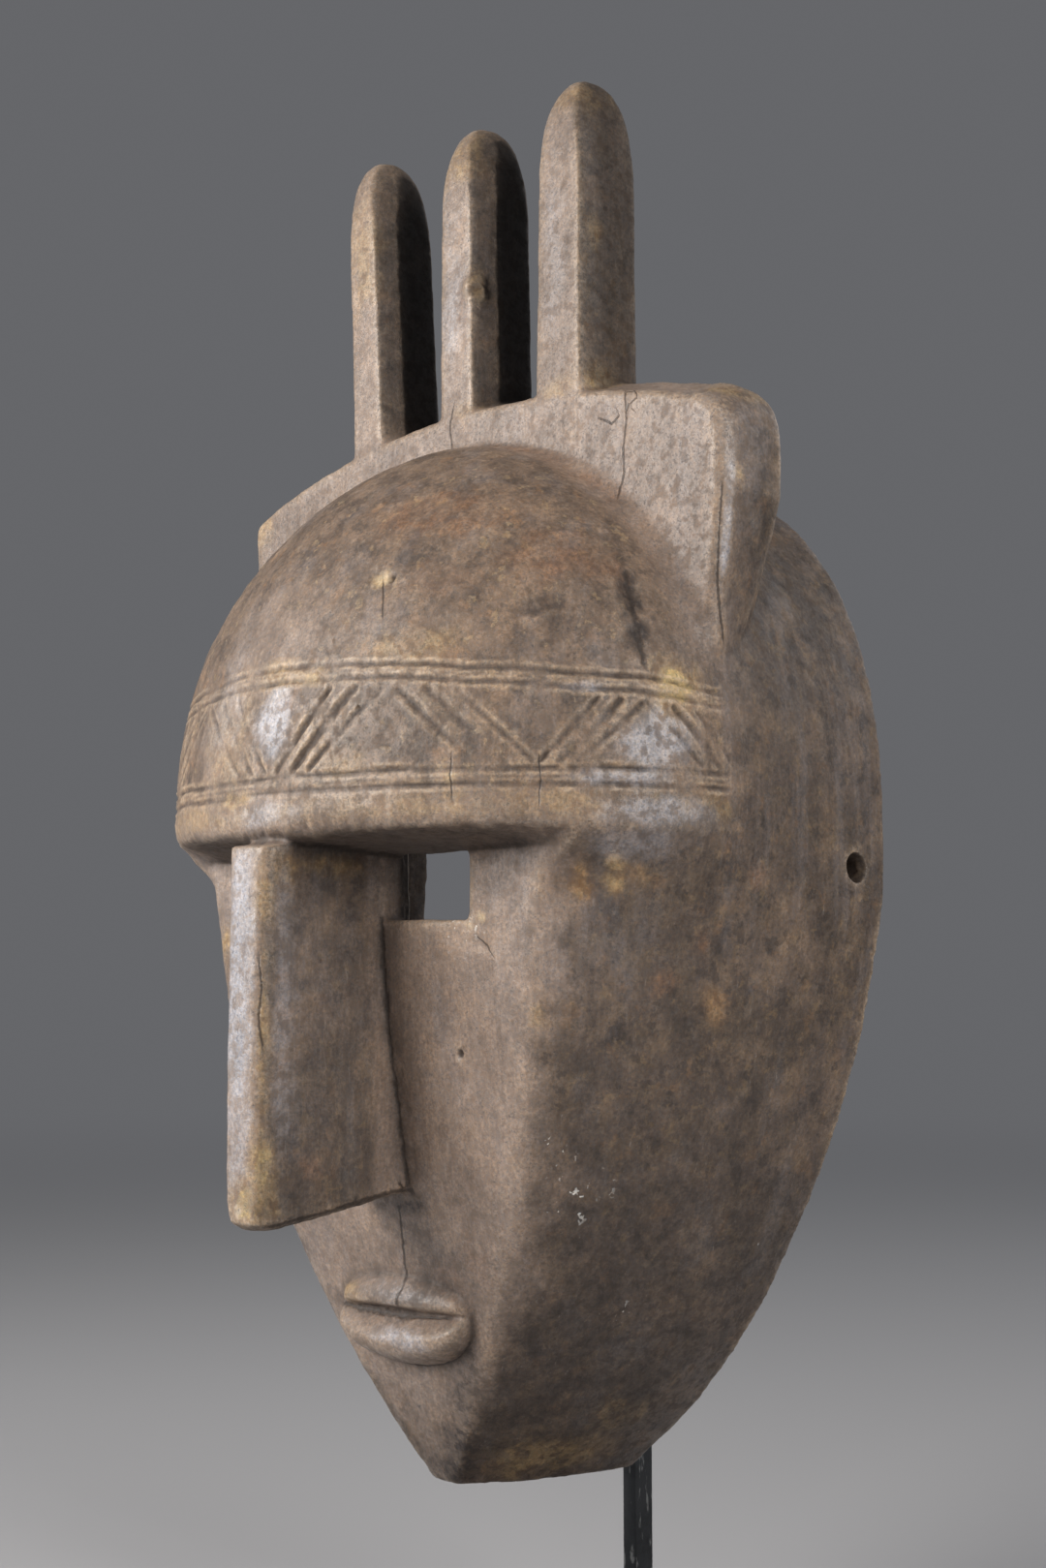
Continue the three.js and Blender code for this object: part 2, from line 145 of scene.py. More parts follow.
# Carved band round the forehead: heights of its lines, and each leg's turns at foot and head.
# How deep a leg is cut is given for the left side and the right.
GROOVE_HALF_WIDTH = 1.3
GROOVE_DEEP = 0.95
BAND_LOW = 29.5
BAND_LOW_GAP = 6.0
BAND_HIGH = 80.0
BAND_HIGH_GAP = 5.5
BAND_DROP = 13.0
BAND_CENTRE_TURN = 2.5
STROKE_LOW = 38.0
STROKE_GAP_UNDER_HIGH = 4.0
LEGS = (
    {"foot": (1.5, 8.5), "head": (11.5, 21.5), "deep": (0.5, 1.3)},
    {"foot": (38.0, 48.0), "head": (24.5, 35.0), "deep": (0.6, 0.6)},
    {"foot": (49.5, 56.0), "head": (60.0, 69.0), "deep": (0.9, 0.95)},
    {"foot": (82.0, 93.0), "head": (70.0, 82.0), "deep": (0.9, 1.0)},
)
STROKES_IN_A_LEG = 3

# Working mesh
FACE_STATIONS = 26
SIDE_STATIONS = 44
GRAIN_OF_MESH = 1.15 * MM
MASK_TRIANGLES = 188000
CRUMB_VERTICES = 500
# Edges that are smoothed before the relief is cut: the zone, how many times, and how much
SOFTENED_ZONES = (("fillet", 90, 0.6), ("chin_edge", 26, 0.5), ("horn_heads", 26, 0.5))


def smooth(amount):
    amount = np.clip(amount, 0.0, 1.0)
    return amount * amount * (3.0 - 2.0 * amount)


def bell(distance, width):
    return np.exp(-((distance / width) ** 2))


# How far down the face a height is: 0 at the eye line, 1 at the chin's end.
def drop(z):
    return np.clip(-z / CHIN_DROP, 0.0, 1.0)


def face_half_width(z):
    flare = 3.0 * max(0.0, z) / BROW_UNDERSIDE
    return max(CHIN_HALF_WIDTH, FACE_HALF_WIDTH * (1 - drop(z) ** 2) + 2 * drop(z) ** 4) + flare


def face_front(z):
    return FACE_SLOPE_BACK * drop(z) ** 2


def rim_half_width(z):
    return RIM_HALF_WIDTH * (1 - np.clip(-z / RIM_DROP, 0, 1) ** 1.7) ** 0.6


def rim_depth(z):
    return RIM_DEPTH - RIM_FORWARD_AT_CHIN * drop(z) ** 1.1


def climb(z, rise):
    return np.clip((z - DOME_CENTRE) / rise, 0.0, 1.0)


def dome_shares(z, rise):
    up = climb(z, rise)
    return (1 - up**2.5) ** 0.6, (1 - up**2.3) ** 0.65, (1 - up**2.4) ** 0.42


# Stations of half a section, from the middle of the face to the back rim.
FACE_SHARE = np.arange(FACE_STATIONS + 1) / FACE_STATIONS
SIDE_SHARE = np.arange(1, SIDE_STATIONS + 1) / SIDE_STATIONS
TURN = np.concatenate(
    [
        FACE_SHARE * BROW_CORNER_TURN,
        BROW_CORNER_TURN + np.clip(SIDE_SHARE * 2, 0, 1) * (90 - BROW_CORNER_TURN),
    ]
)
BACK_SHARE = np.concatenate([FACE_SHARE * 0, np.clip(SIDE_SHARE * 2 - 1, 0, 1)])
IS_SIDE = np.concatenate([FACE_SHARE * 0, SIDE_SHARE])


def face_half(z, wall=0.0, front_wall=0.0, reach=0.0):
    """Half of a level section through face and side, blended into the dome's section near the brow."""
    b = max(4.0, face_half_width(z) - wall * 0.75)
    front = face_front(z) + front_wall
    depth = rim_depth(z) + reach
    fullness = 1.9 + 1.1 * math.exp(z / 60)
    back = 0.45 * SIDE_SHARE + 0.55 * SIDE_SHARE**2
    out = 1 - (1 - back) ** fullness
    x = np.concatenate([b * FACE_SHARE, b + (rim_half_width(z) - wall - b) * out])
    y = np.concatenate([FACE_SHARE * 0 + front, front + (depth - front) * back])
    height = x * 0 + z
    if z < CHIN_BOTTOM + 12:
        height -= (CHIN_BOTTOM + 12 - z) / 12 * CHIN_BOTTOM_SLOPE * (y - front) / (depth - front)
    half = np.stack([x, y, height], axis=1)
    share = join_share(x * 0 + z, wall)[:, None]
    dome = dome_half(x * 0 + z, 0.0, wall, DOME_WALL if wall else 0.0, reach)
    half[:, :2] += (dome - half)[:, :2] * share
    return soften_corner(half, smooth((-4 - z) / 30))


def soften_corner(half, amount):
    """Rounds the long edge between the face and the side."""
    weight = (amount * bell(np.arange(len(half)) - FACE_STATIONS - 1.5, 5.0))[1:-1, None]
    for _ in range(14):
        half[1:-1] += (half[:-2] - 2 * half[1:-1] + half[2:]) * 0.25 * weight
    return half


def join_share(z, wall=0.0):
    """How much of the dome's section the side has at each station, at height z."""
    starts_at = -8.0 - 34.0 * smooth(IS_SIDE / 0.45)
    full_at = 17.0 + 11.0 * smooth(IS_SIDE / 0.3) + (10.0 if wall else 0.0)
    reached = smooth((z - starts_at) / (full_at - starts_at)) ** 1.3
    return reached * np.clip(IS_SIDE / 0.045, 0.0, 1.0)


def dome_half(z, inset, wall=0.0, dome_wall=0.0, reach=0.0):
    """Half of a section through the dome and the arch behind it. z may change along the section."""
    rise = DOME_RISE - (DOME_WALL if wall else 0.0)
    width_share, reach_share, arch_share = dome_shares(z, rise)
    side = (DOME_HALF_WIDTH - wall) * width_share - inset
    ahead = (DOME_REACH - dome_wall) * reach_share - inset
    rim = (RIM_HALF_WIDTH - wall) * arch_share
    turn = np.radians(TURN)
    x = side * np.sin(turn) + (rim - side) * BACK_SHARE
    y = CREST_FRONT - ahead * np.cos(turn) + (RIM_DEPTH + reach - CREST_FRONT) * BACK_SHARE
    return np.stack([x, y, x * 0 + z], axis=1)


def both_sides(half):
    left = half[:0:-1] * np.array([-1, 1, 1])
    return np.concatenate([left, half])


def placed(points):
    return (np.asarray(points) + EYE_LINE) * MM


def new_object(name, data):
    made = bpy.data.objects.new(name, data)
    bpy.context.scene.collection.objects.link(made)
    return made


def piece_of(bm, name):
    mesh = bpy.data.meshes.new(name)
    bm.to_mesh(mesh)
    bm.free()
    return new_object(name, mesh)


def skin(loops, name):
    """One closed body through a stack of loops, drawn to a point inside both end loops."""
    loops = [np.asarray(loop) for loop in loops]
    loops = [loops[0] * 0 + loops[0].mean(0)] + loops + [loops[-1] * 0 + loops[-1].mean(0)]
    rows = np.array([np.concatenate([loop, loop[:1]]) for loop in loops])
    bm = bmesh.new()
    bmesh.ops.create_grid(bm, x_segments=rows.shape[1] - 1, y_segments=rows.shape[0] - 1, size=0.5)
    for vert, place in zip(bm.verts, placed(rows.reshape(-1, 3))):
        vert.co = place
    bmesh.ops.remove_doubles(bm, verts=bm.verts, dist=1e-6)
    bmesh.ops.dissolve_degenerate(bm, edges=bm.edges, dist=1e-7)
    bmesh.ops.recalc_face_normals(bm, faces=bm.faces)
    return piece_of(bm, name)


def outer_body():
    loops = [both_sides(face_half(z)) for z in np.linspace(CHIN_BOTTOM, BROW_UNDERSIDE, 67)]
    sag = BROW_SAG * np.clip(1 - TURN / 40, 0, 1) ** 1.5
    fade = (1 - 0.7 * np.clip(TURN / BROW_CORNER_TURN, 0, 1)) * (1 - np.clip(IS_SIDE / 0.06, 0, 1))
    below = face_half(BROW_UNDERSIDE)
    for angle in np.radians(np.linspace(0, 90, 8)):
        z = BROW_EDGE + BROW_ROLL * (1 - math.cos(angle)) - sag
        half = dome_half(z, BROW_ROLL * (1 - math.sin(angle)) * fade)
        part = np.where(IS_SIDE > 0, join_share(z) / np.clip(IS_SIDE / 0.045, 1e-6, 1), 1.0)
        half[:, :2] = below[:, :2] + (half - below)[:, :2] * part[:, None]
        loops.append(both_sides(half))
    for angle in np.radians(np.linspace(3, 88.5, 46)):
        z = DOME_CENTRE + DOME_RISE * math.sin(angle)
        settled = smooth((z - BROW_EDGE - BROW_ROLL) / 20)
        loops.append(both_sides(dome_half(z - sag * (1 - settled), 0.0)))
    return skin(loops, "outer_body")


def hollow():
    loops = [
        both_sides(face_half(z, WALL, FACE_WALL, HOLLOW_OVERRUN))
        for z in np.linspace(HOLLOW_BOTTOM, BROW_UNDERSIDE, 50)
    ]
    rise = DOME_RISE - DOME_WALL
    for angle in np.radians(np.linspace(7, HOLLOW_TOP_ANGLE, 34)):
        z = DOME_CENTRE + rise * math.sin(angle)
        loops.append(both_sides(dome_half(TURN * 0 + z, 0.0, WALL, DOME_WALL, HOLLOW_OVERRUN)))
    return skin(loops, "hollow")


def crest():
    """The crest board. Its back outline stands a little higher and wider, and its right end tapers down."""

    def outline(y, lift, wider, corner, inset_side=0, inset_top=0, taper=0):
        half = CREST_HALF_WIDTH + wider

        def top(x):
            right_lift = lift * (0.35 + 0.325 * (1 + math.tanh(x / 60)))
            return CREST_TOP - inset_top - 25 * (x / CREST_HALF_WIDTH) ** 2 + right_lift

        right = [(120, 30), (137, 52), (143, 86), (147 + wider / 2, 122), (half, 148)]
        places = [(-128, 30)] + [(x - inset_side - taper * (150 - z), z) for x, z in right]
        for turn in np.radians(np.linspace(0, 90, 11)):
            x = half - inset_side - corner * (1 - math.cos(turn))
            places.append((x, top(half - corner) - corner * (1 - math.sin(turn))))
        places += [(x, top(x)) for x in np.linspace(118, -135, 40)]
        for turn in np.radians(np.linspace(20, 90, 4)):
            x = -half + 5 - 5 * math.sin(turn) + inset_top
            places.append((x, top(-half) - 5 + 5 * math.cos(turn)))
        left = [(half - 1, 150), (147, 122), (142, 86), (136, 52)]
        places += [(-x + inset_top + taper * (150 - z), z) for x, z in left]
        return [(x, y, z) for x, z in places]

    lift, wider = CREST_BACK_LIFT, CREST_BACK_WIDER
    back = CREST_FRONT + CREST_THICKNESS + 1
    loops = [
        outline(back, lift, wider, 26, 3, 3, 0.16),
        outline(back - 3, lift, wider, 26, taper=0.15),
        outline(CREST_FRONT + CREST_THICKNESS * 0.6, lift, wider - 1, 24, taper=0.07),
        outline(CREST_FRONT + 6, 1.5, 0.6, 19),
        outline(CREST_FRONT + 2, 0.5, 0.3, 18, 1.6, 0.2),
        outline(CREST_FRONT, 0, 0, 17, 4.5, 1.5),
    ]
    return skin(loops, "crest")


def horn(place, foot, head, width, tall, across, back):
    """One finger-like horn: a rectangle in section, its head rounded and its front right corner cut away."""
    base = CREST_TOP - HORN_ROOT
    tip = HORN_TOP + tall
    cap_start = tip - HORN_CAP
    cap = [cap_start + HORN_CAP * math.sin(math.radians(angle)) for angle in range(5, 90, 4)]
    loops = []
    for z in [*np.linspace(base, cap_start, 14), *cap]:
        up = (z - base) / (tip - base)
        over = max(0.0, z - cap_start) / HORN_CAP
        shrink = (1 - over**2.5) ** 0.45
        cut_share = shrink * (1 + 0.5 * over)
        middle = foot + (head - foot) * up
        half_x = width / 2 * (1.08 - 0.11 * up) * shrink
        half_y = HORN_DEPTH / 2 * (1 - 0.03 * up) * (0.1 + 0.9 * shrink)
        corners = []
        for sx, sy in ((1, -1), (1, 1), (-1, 1), (-1, -1)):
            cut_x, cut_y = (across, back) if (sx, sy) == (1, -1) else (HORN_CORNER, HORN_CORNER)
            ends = [
                (sx * (half_x - cut_x * cut_share), sy * half_y),
                (sx * half_x, sy * (half_y - cut_y * cut_share)),
            ]
            corners += ends if sx * sy < 0 else ends[::-1]
        ring = np.array([(middle + x, CREST_FRONT + HORN_DEPTH / 2 + 0.5 + y, z) for x, y in corners])
        onward = np.roll(ring, -1, axis=0)
        loops.append(np.concatenate([np.linspace(a, b, 4)[:-1] for a, b in zip(ring, onward)]))
    return skin(loops, "horn_%d" % place)


def nose():
    """The long nose wedge. Its underside rises towards the face and its top is tucked under the brow."""
    span = BROW_EDGE - 8 - NOSE_BOTTOM
    loops = []
    for level in NOSE_LEVELS:
        tip = max(0.0, min(1.0, -level / 0.02))
        front = NOSE_HALF_WIDTH * (1 - 0.3 * tip) + 3 * max(0.0, level - 0.75)
        root = NOSE_ROOT_HALF_WIDTH + NOSE_FOOT_FLARE * smooth((0.85 - level) / 0.8)
        front_z = NOSE_BOTTOM + span * level
        root_z = NOSE_BOTTOM + 12 + (span - 8) * level
        ahead = NOSE_TUCK if level > 1.03 else NOSE_FRONT + 4 * tip + 4 * abs(level - 0.45) ** 1.5
        behind = face_front(root_z) + FACE_WALL - 1 + NOSE_BRIDGE_DEEPER * smooth((root_z + 60) / 40)
        worn = 5 - 1.5 * abs(level - 0.5)
        right = [
            (front - worn, ahead, front_z),
            (front - 1.2, ahead + worn * 0.55, front_z),
            (front, ahead + worn + 1, front_z),
            (root, behind, root_z),
        ]
        round_off = 1 - 0.5 * max(0.0, 1 - (level + 0.02) / 0.09) ** 2
        left = [(-x * round_off, y, z) for x, y, z in reversed(right)]
        left[0] = (-root, behind, root_z)
        loops.append(left + [(0.0, ahead - 0.5, front_z)] + right)
    return skin(loops, "nose")


def rounded(points, steps):
    """A smooth closed curve through a ring of points."""
    ring = np.asarray(points, float)
    out = []
    for a, b, c, d in zip(*(np.roll(ring, k, axis=0) for k in (1, 0, -1, -2))):
        for t in np.arange(steps) / steps:
            curve = 2 * b + (c - a) * t + (2 * a - 5 * b + 4 * c - d) * t**2
            out.append(0.5 * (curve + (3 * b - a - 3 * c + d) * t**3))
    return out


def mouth():
    """A thin flat upper lip over a full lower lip with a ledge that faces up."""
    loops = []
    for turn in np.radians(np.linspace(-88, 88, 49)):
        x = (MOUTH_HALF_WIDTH + (MOUTH_RIGHT_LONGER if turn > 0 else 0.0)) * math.sin(turn)
        share = math.cos(turn)
        loop = []
        for out, up in rounded(MOUTH_PROFILE, 3):
            full = share**0.95 if up > 0 else share ** (0.8 if turn > 0 else 0.6)
            z = MOUTH_HEIGHT + MOUTH_TILT * x + 2.5 * (1 - share) + up * (0.12 + 0.88 * full)
            ahead = out * share ** (0.75 if up > 0 else 0.5) if out < 0 else out
            loop.append((MOUTH_MIDDLE + x, face_front(z) + ahead, z))
        loops.append(loop)
    return skin(loops, "mouth")


def block(low, high, name, rounding=0.0):
    """A box between two corners, with its edges along Y rounded."""
    bm = bmesh.new()
    bmesh.ops.create_cube(bm, size=1.0)
    low, high = Vector(placed(low)), Vector(placed(high))
    bmesh.ops.scale(bm, vec=high - low, verts=bm.verts)
    bmesh.ops.translate(bm, vec=(low + high) / 2, verts=bm.verts)
    if rounding:
        along = [e for e in bm.edges if abs((e.verts[0].co - e.verts[1].co).y) > 1e-4]
        bmesh.ops.bevel(
            bm, geom=along, offset=rounding * MM, offset_type="OFFSET", segments=4, profile=0.5,
            affect="EDGES", material=-1, clamp_overlap=True,
        )
    return piece_of(bm, name)


def tie_hole(side):
    bm = bmesh.new()
    radius, length = TIE_HOLE_RADIUS * MM, TIE_HOLE_LENGTH * MM
    bmesh.ops.create_cone(bm, cap_ends=True, segments=28, radius1=radius, radius2=radius, depth=length)
    bmesh.ops.rotate(bm, verts=bm.verts, matrix=Matrix.Rotation(math.pi / 2, 3, "Y"))
    place = Vector(placed((side * TIE_HOLE_ASIDE, TIE_HOLE_DEPTH, TIE_HOLE_HEIGHT)))
    bmesh.ops.translate(bm, vec=place, verts=bm.verts)
    return piece_of(bm, "tie_hole")


def settle(piece, *modifiers):
    """Gives the piece the result of modifiers, and leaves none on it."""
    for kind, values in modifiers:
        modifier = piece.modifiers.new(kind.lower(), kind)
        for name, value in values.items():
            setattr(modifier, name, value)
    bpy.context.view_layer.update()
    depsgraph = bpy.context.evaluated_depsgraph_get()
    result = bpy.data.meshes.new_from_object(piece.evaluated_get(depsgraph))
    old = piece.data
    piece.modifiers.clear()
    piece.data = result
    bpy.data.meshes.remove(old)


def carve(body, tools, operation):
    for tool in tools:
        settle(body, ("BOOLEAN", {"operation": operation, "solver": "MANIFOLD", "object": tool}))
        bpy.data.objects.remove(tool)


def eye_holes():
    for side in (-1, 1):
        a, b = (EYE_INNER, EYE_OUTER) if side > 0 else (-EYE_OUTER, -EYE_INNER)
        yield block((a, EYE_CUT_FROM, EYE_BOTTOM), (b, EYE_CUT_TO, EYE_TOP), "eye_hole", EYE_CORNER)


# Fixed noise, so that each run gives the same carving
LATTICE = 32
TABLE = np.random.default_rng(11).random((8, LATTICE, LATTICE, LATTICE)).astype(np.float32) * 2 - 1


def noise_at(cell, layer):
    return TABLE[(layer % 8, *(cell % LATTICE).T)]


def cloud(points, size, layer=0):
    """Soft noise from -1 to 1 with lumps of the given size, or sizes along X, Y and Z."""
    scaled = points / np.asarray(size, float)
    cell = np.floor(scaled).astype(int)
    part = smooth(scaled - cell)
    total = 0.0
    for step in itertools.product((0, 1), repeat=3):
        wx, wy, wz = np.where(step, part, 1 - part).T
        total = total + wx * wy * wz * noise_at(cell + step, layer)
    return total


def rough(points, size, layer=0, octaves=3):
    total = 0.0
    for octave in range(octaves):
        scale = 0.5**octave
        total = total + cloud(points + octave * 17.3, np.asarray(size, float) * scale, layer + octave) * scale
    return total


def tool_cuts(points, size, layer=0):
    """Shallow cuts of an adze: 0 in the middle of each cut and 1 at the crests between cuts."""
    scaled = points / np.asarray(size, float)
    cell = np.floor(scaled).astype(int)
    nearest = np.full(len(points), 9.0)
    for step in itertools.product((-1, 0, 1), repeat=3):
        at = cell + step
        jitter = np.stack([noise_at(at, layer + k) for k in range(3)], axis=1)
        gap = scaled - at - 0.5 - 0.45 * jitter
        nearest = np.minimum(nearest, (gap**2).sum(1))
    return np.clip(nearest, 0, 1)


def segment_distance(points, start, end):
    start, end = np.asarray(start, float), np.asarray(end, float)
    along = end - start
    share = np.clip(((points - start) @ along) / (along @ along), 0, 1)
    return np.linalg.norm(points - start - share[:, None] * along, axis=1), share


def neighbour_mean(edges, count):
    """Gives a function that works out the mean of each vertex's neighbours."""
    first, second = edges.T
    degree = np.maximum(np.bincount(edges.ravel(), minlength=count), 1)

    def mean(values):
        totals = [
            np.bincount(first, column[second], count) + np.bincount(second, column[first], count)
            for column in values.T
        ]
        return np.stack(totals, axis=1) / degree[:, None]

    return mean


def values_of(items, name, columns, kind=np.float32):
    flat = np.empty(len(items) * columns, kind)
    items.foreach_get(name, flat)
    return flat.reshape(-1, columns)


class Surface:
    """Vertex places and normals of a mesh, in millimetres from the eye line."""

    def __init__(self, mesh):
        self.mesh = mesh
        self.places = values_of(mesh.vertices, "co", 3).astype(float) / MM - EYE_LINE
        self.edges = values_of(mesh.edges, "vertices", 2, np.int32)

    def relax(self, times, weight):
        """Smooths the places where weight is above zero, and leaves the others."""
        chosen = weight > 0.01
        edges = self.edges[chosen[self.edges].any(axis=1)]
        used, flat = np.unique(edges, return_inverse=True)
        mean = neighbour_mean(flat.reshape(-1, 2), len(used))
        places = self.places[used]
        share = (weight * chosen)[used][:, None]
        for _ in range(times):
            places += (mean(places) - places) * share
        self.places[used] = places
        self.write()

    def write(self):
        self.mesh.vertices.foreach_set("co", placed(self.places).astype(np.float32).ravel())
        self.mesh.update()

    def normals(self):
        return values_of(self.mesh.vertex_normals, "vector", 3).astype(float)

    def paint(self, name, values):
        layer = self.mesh.attributes.get(name) or self.mesh.attributes.new(name, "FLOAT", "POINT")
        layer.data.foreach_set("value", np.clip(values, 0, 1).astype(np.float32))


def dome_plan(places):
    """How far each place lies aside and ahead on the dome, in shares of its section at that height."""
    width_share, reach_share, _ = dome_shares(places[:, 2], DOME_RISE)
    aside = places[:, 0] / np.maximum(DOME_HALF_WIDTH * width_share, 1)
    return aside, (CREST_FRONT - places[:, 1]) / np.maximum(DOME_REACH * reach_share, 1)


def band_high(turn):
    return BAND_HIGH - BAND_DROP * ((np.hypot(turn, 10) - 10) / 80)


def turn_length(turn):
    """Length along the band at a turn, near enough for a distance between strokes."""
    return 2.57 * turn - 0.0027 * np.abs(turn) * turn


def furrow(distance, width):
    """A shallow cut line: how deep it is, and how far its two thin ridges stand up."""
    return bell(distance, width * 1.25), bell(np.abs(distance) - 2.0 * width, width * 0.75)


def between(ends, share):
    return ends[0] + (ends[1] - ends[0]) * share


def band_relief(places, on_dome):
    """The band's cuts and ridges, each as a share from 0 to 1."""
    turn = np.degrees(np.arctan2(*dome_plan(places)))
    z = places[:, 2]
    waver = 0.8 * cloud(places, 23, 3) + 0.35 * cloud(places, 7, 2)
    uneven = on_dome * np.clip(0.75 + 0.75 * rough(places, 13, 5), 0.1, 1.25)
    ends = uneven * smooth((95 - np.abs(turn)) / 5)
    flat = np.stack([turn_length(turn), z], axis=1)
    cuts = np.zeros(len(places))
    ridges = np.zeros(len(places))
    high = band_high(turn)
    for line, deep in (
        (BAND_LOW, 0.75),
        (BAND_LOW + BAND_LOW_GAP, 0.7),
        (high - BAND_HIGH_GAP, 0.55),
        (high, 0.6),
    ):
        cut, ridge = furrow(z - line + waver, GROOVE_HALF_WIDTH * 0.7)
        cuts = np.maximum(cuts, cut * deep * ends)
        ridges = np.maximum(ridges, ridge * ends)
    for side, leg, place in itertools.product((-1, 1), LEGS, range(STROKES_IN_A_LEG)):
        share = place / (STROKES_IN_A_LEG - 1)
        foot = BAND_CENTRE_TURN + side * between(leg["foot"], share)
        head = BAND_CENTRE_TURN + side * between(leg["head"], share)
        head_place = (turn_length(head), band_high(head) - BAND_HIGH_GAP - STROKE_GAP_UNDER_HIGH)
        distance, up = segment_distance(flat, (turn_length(foot), STROKE_LOW), head_place)
        width = GROOVE_HALF_WIDTH * (1.2 if place == 1 else 0.95) * (0.75 + 0.9 * up * (1 - up))
        deep = leg["deep"][(side + 1) // 2]
        cut, ridge = furrow(distance + 0.5 * waver, width)
        cuts = np.maximum(cuts, cut * deep * uneven)
        ridges = np.maximum(ridges, ridge * min(deep + 0.2, 1.0) * uneven * (cuts < 0.5))
    return cuts, ridges


# Fine cracks and painted shadow lines: half the width in millimetres, and the places that the line runs
# through
CRACKS_AND_SHADOW_LINES = (
    (0.35, (-5.4, 55, 208), (-6.8, 55, 200), (-4.9, 55, 192), (-6, 55, 184)),
    (0.4, (98.8, 55, 195), (99.9, 55, 183), (97.8, 55, 172), (98.4, 55, 163), (96, 55, 152)),
    (0.3, (87, 55, 186), (92, 55, 183.5), (97, 55, 187)),
    (0.3, (99.5, 55, 189), (106, 55, 191), (104, 55, 196)),
    (0.65, (9, 14.5, -141), (8.1, 16.5, -150), (7.2, 19.6, -163), (8.4, 20, -169)),
    (0.7, (8.4, 14, -169), (7.2, 13, -176), (8, 14, -181)),
    (0.35, (46, -28.5, 111), (48.5, -30.5, 106), (50.7, -31.9, 99)),
    (0.35, (88.3, -31.2, 37), (88, -31, 31.3), (88.4, -31, 27)),
    (0.3, (115.5, -12, 37), (116.2, -12, 30), (115.6, -12, 24)),
    (0.55, (148.6, 55.3, 146), (147, 55.4, 127), (145.3, 56.8, 111), (141.8, 62.5, 90)),
    # The nose's corner against the face: a painted shadow line
    (0.9, (12.9, 0.2, -21), (13.7, 1.4, -45), (15, 3.6, -70), (16.9, 7.3, -100), (17.6, 11.3, -127)),
    (0.5, (10.6, -60.3, -38), (11.8, -60, -48), (10.5, -60.3, -57), (11.9, -59.5, -68)),
    # Under the upper lip and below the lower lip: painted shadow lines
    (1.5, (-35, 22.5, -183), (-20, 20.3, -182.8), (0, 19.2, -182.4), (14, 19.5, -181.8)),
    (0.7, (14, 19.5, -181.8), (32, 21.5, -181)),
    (0.8, (-32, 28, -196.2), (-16, 29.6, -202.3), (8, 29.9, -203), (26, 28.4, -198.4), (38, 25.5, -188.5)),
    (0.9, (121, 30, 113), (125.5, 28, 103), (129.5, 26, 93), (132.5, 25.2, 83), (133.5, 25.2, 77)),
    # Along the nose's lower edge: a painted shadow line
    (0.9, (12.5, -52, -139.2), (15, -20, -134), (17.2, 11, -129)),
    (0.3, (71, 0.6, -28), (74.5, 0.7, -30), (77, 0.9, -33)),
)

# Sideways distances from one of these lines are kept up to this many times its width
LINE_REACH = 10.0

# Chips and dents: place, size, how far they go in, and the share of the size that their sides take
SPOTS = (
    ((45.2, -28.3, 112.7), (7.5, 8, 6), 1, 0.7),
    ((49, -27, 113.5), (2.2, 3, 2), 1.8, 0.8),
    ((109, 1, 99.6), (9, 9, 7), 0.9, 1),
    ((103, -8, 96), (8, 8, 4), 0.7, 0.9),
    ((110.8, -2.8, 88.5), (9, 9, 9), 0.5, 1),
    ((124, 27, 104), (6, 6, 16), 1, 0.7),
    ((130.5, 23.5, 86), (4, 5, 10), 0.8, 0.8),
    ((56.6, 3.9, -72.4), (1.7, 3, 1.7), 2, 0.7),
    ((20, 55, -257), (5, 8, 5), 2.2, 0.7),
    ((36, 68, -259), (7, 12, 4), 1.2, 0.9),
    ((66, 0.5, -26), (13, 6, 9), 0.35, 0.8),
    ((96, 20, -118), (9, 12, 8), 0.5, 0.9),
)


def line_field(places, normals):
    """How far each place lies to one side of the nearest line, in its widths, and how near the line is. The
    lines are fine cracks and painted shadow lines.
    """
    nearest = np.full(len(places), 1000.0)
    aside = np.zeros(len(places))
    for wide, *path in CRACKS_AND_SHADOW_LINES:
        for start, end in zip(path, path[1:]):
            distance, _ = segment_distance(places, start, end)
            across = np.cross(normals, np.subtract(end, start))
            across /= np.maximum(np.linalg.norm(across, axis=1), 1e-6)[:, None]
            closer = distance < nearest
            nearest = np.where(closer, distance, nearest)
            aside = np.where(closer, ((places - start) * across).sum(1) / wide, aside)
    return aside, smooth((4 - nearest) / 1.5)


def make_mask():
    body = outer_body()
    carve(body, [crest()] + [horn(i, **one) for i, one in enumerate(HORNS)] + [mouth()], "UNION")
    carve(body, [hollow()], "DIFFERENCE")
    carve(body, [nose()], "UNION")
    carve(body, [*eye_holes(), tie_hole(-1), tie_hole(1)], "DIFFERENCE")
    settle(body, ("REMESH", {"mode": "VOXEL", "voxel_size": GRAIN_OF_MESH, "use_smooth_shade": True}))
    surface = Surface(body.data)
    surface.relax(3, np.full(len(surface.places), 0.5))
    zones = zones_of(surface.places, surface.normals())
    for zone, times, share in SOFTENED_ZONES:
        surface.relax(times, share * zones[zone])
    carve_relief(surface, zones)
    paint_hollows_and_edges(surface)
    share = MASK_TRIANGLES / (2 * len(body.data.polygons))
    settle(body, ("DECIMATE", {"ratio": share, "use_collapse_triangulate": True}))
    drop_crumbs(body)
    paint_zones(Surface(body.data))
    body.data.shade_smooth()
    body.name = "carved_mask"
    body.data.name = "carved_mask"
    return body


def drop_crumbs(body):
    """Removes tiny closed bits that hang free beside the carving."""
    bm = bmesh.new()
    bm.from_mesh(body.data)
    loose = set(bm.verts)
    while loose:
        island = [loose.pop()]
        for vert in island:
            joined = {edge.other_vert(vert) for edge in vert.link_edges} & loose
            loose -= joined
            island += joined
        if len(island) < CRUMB_VERTICES:
            bmesh.ops.delete(bm, geom=island, context="VERTS")
    bm.to_mesh(body.data)
    bm.free()


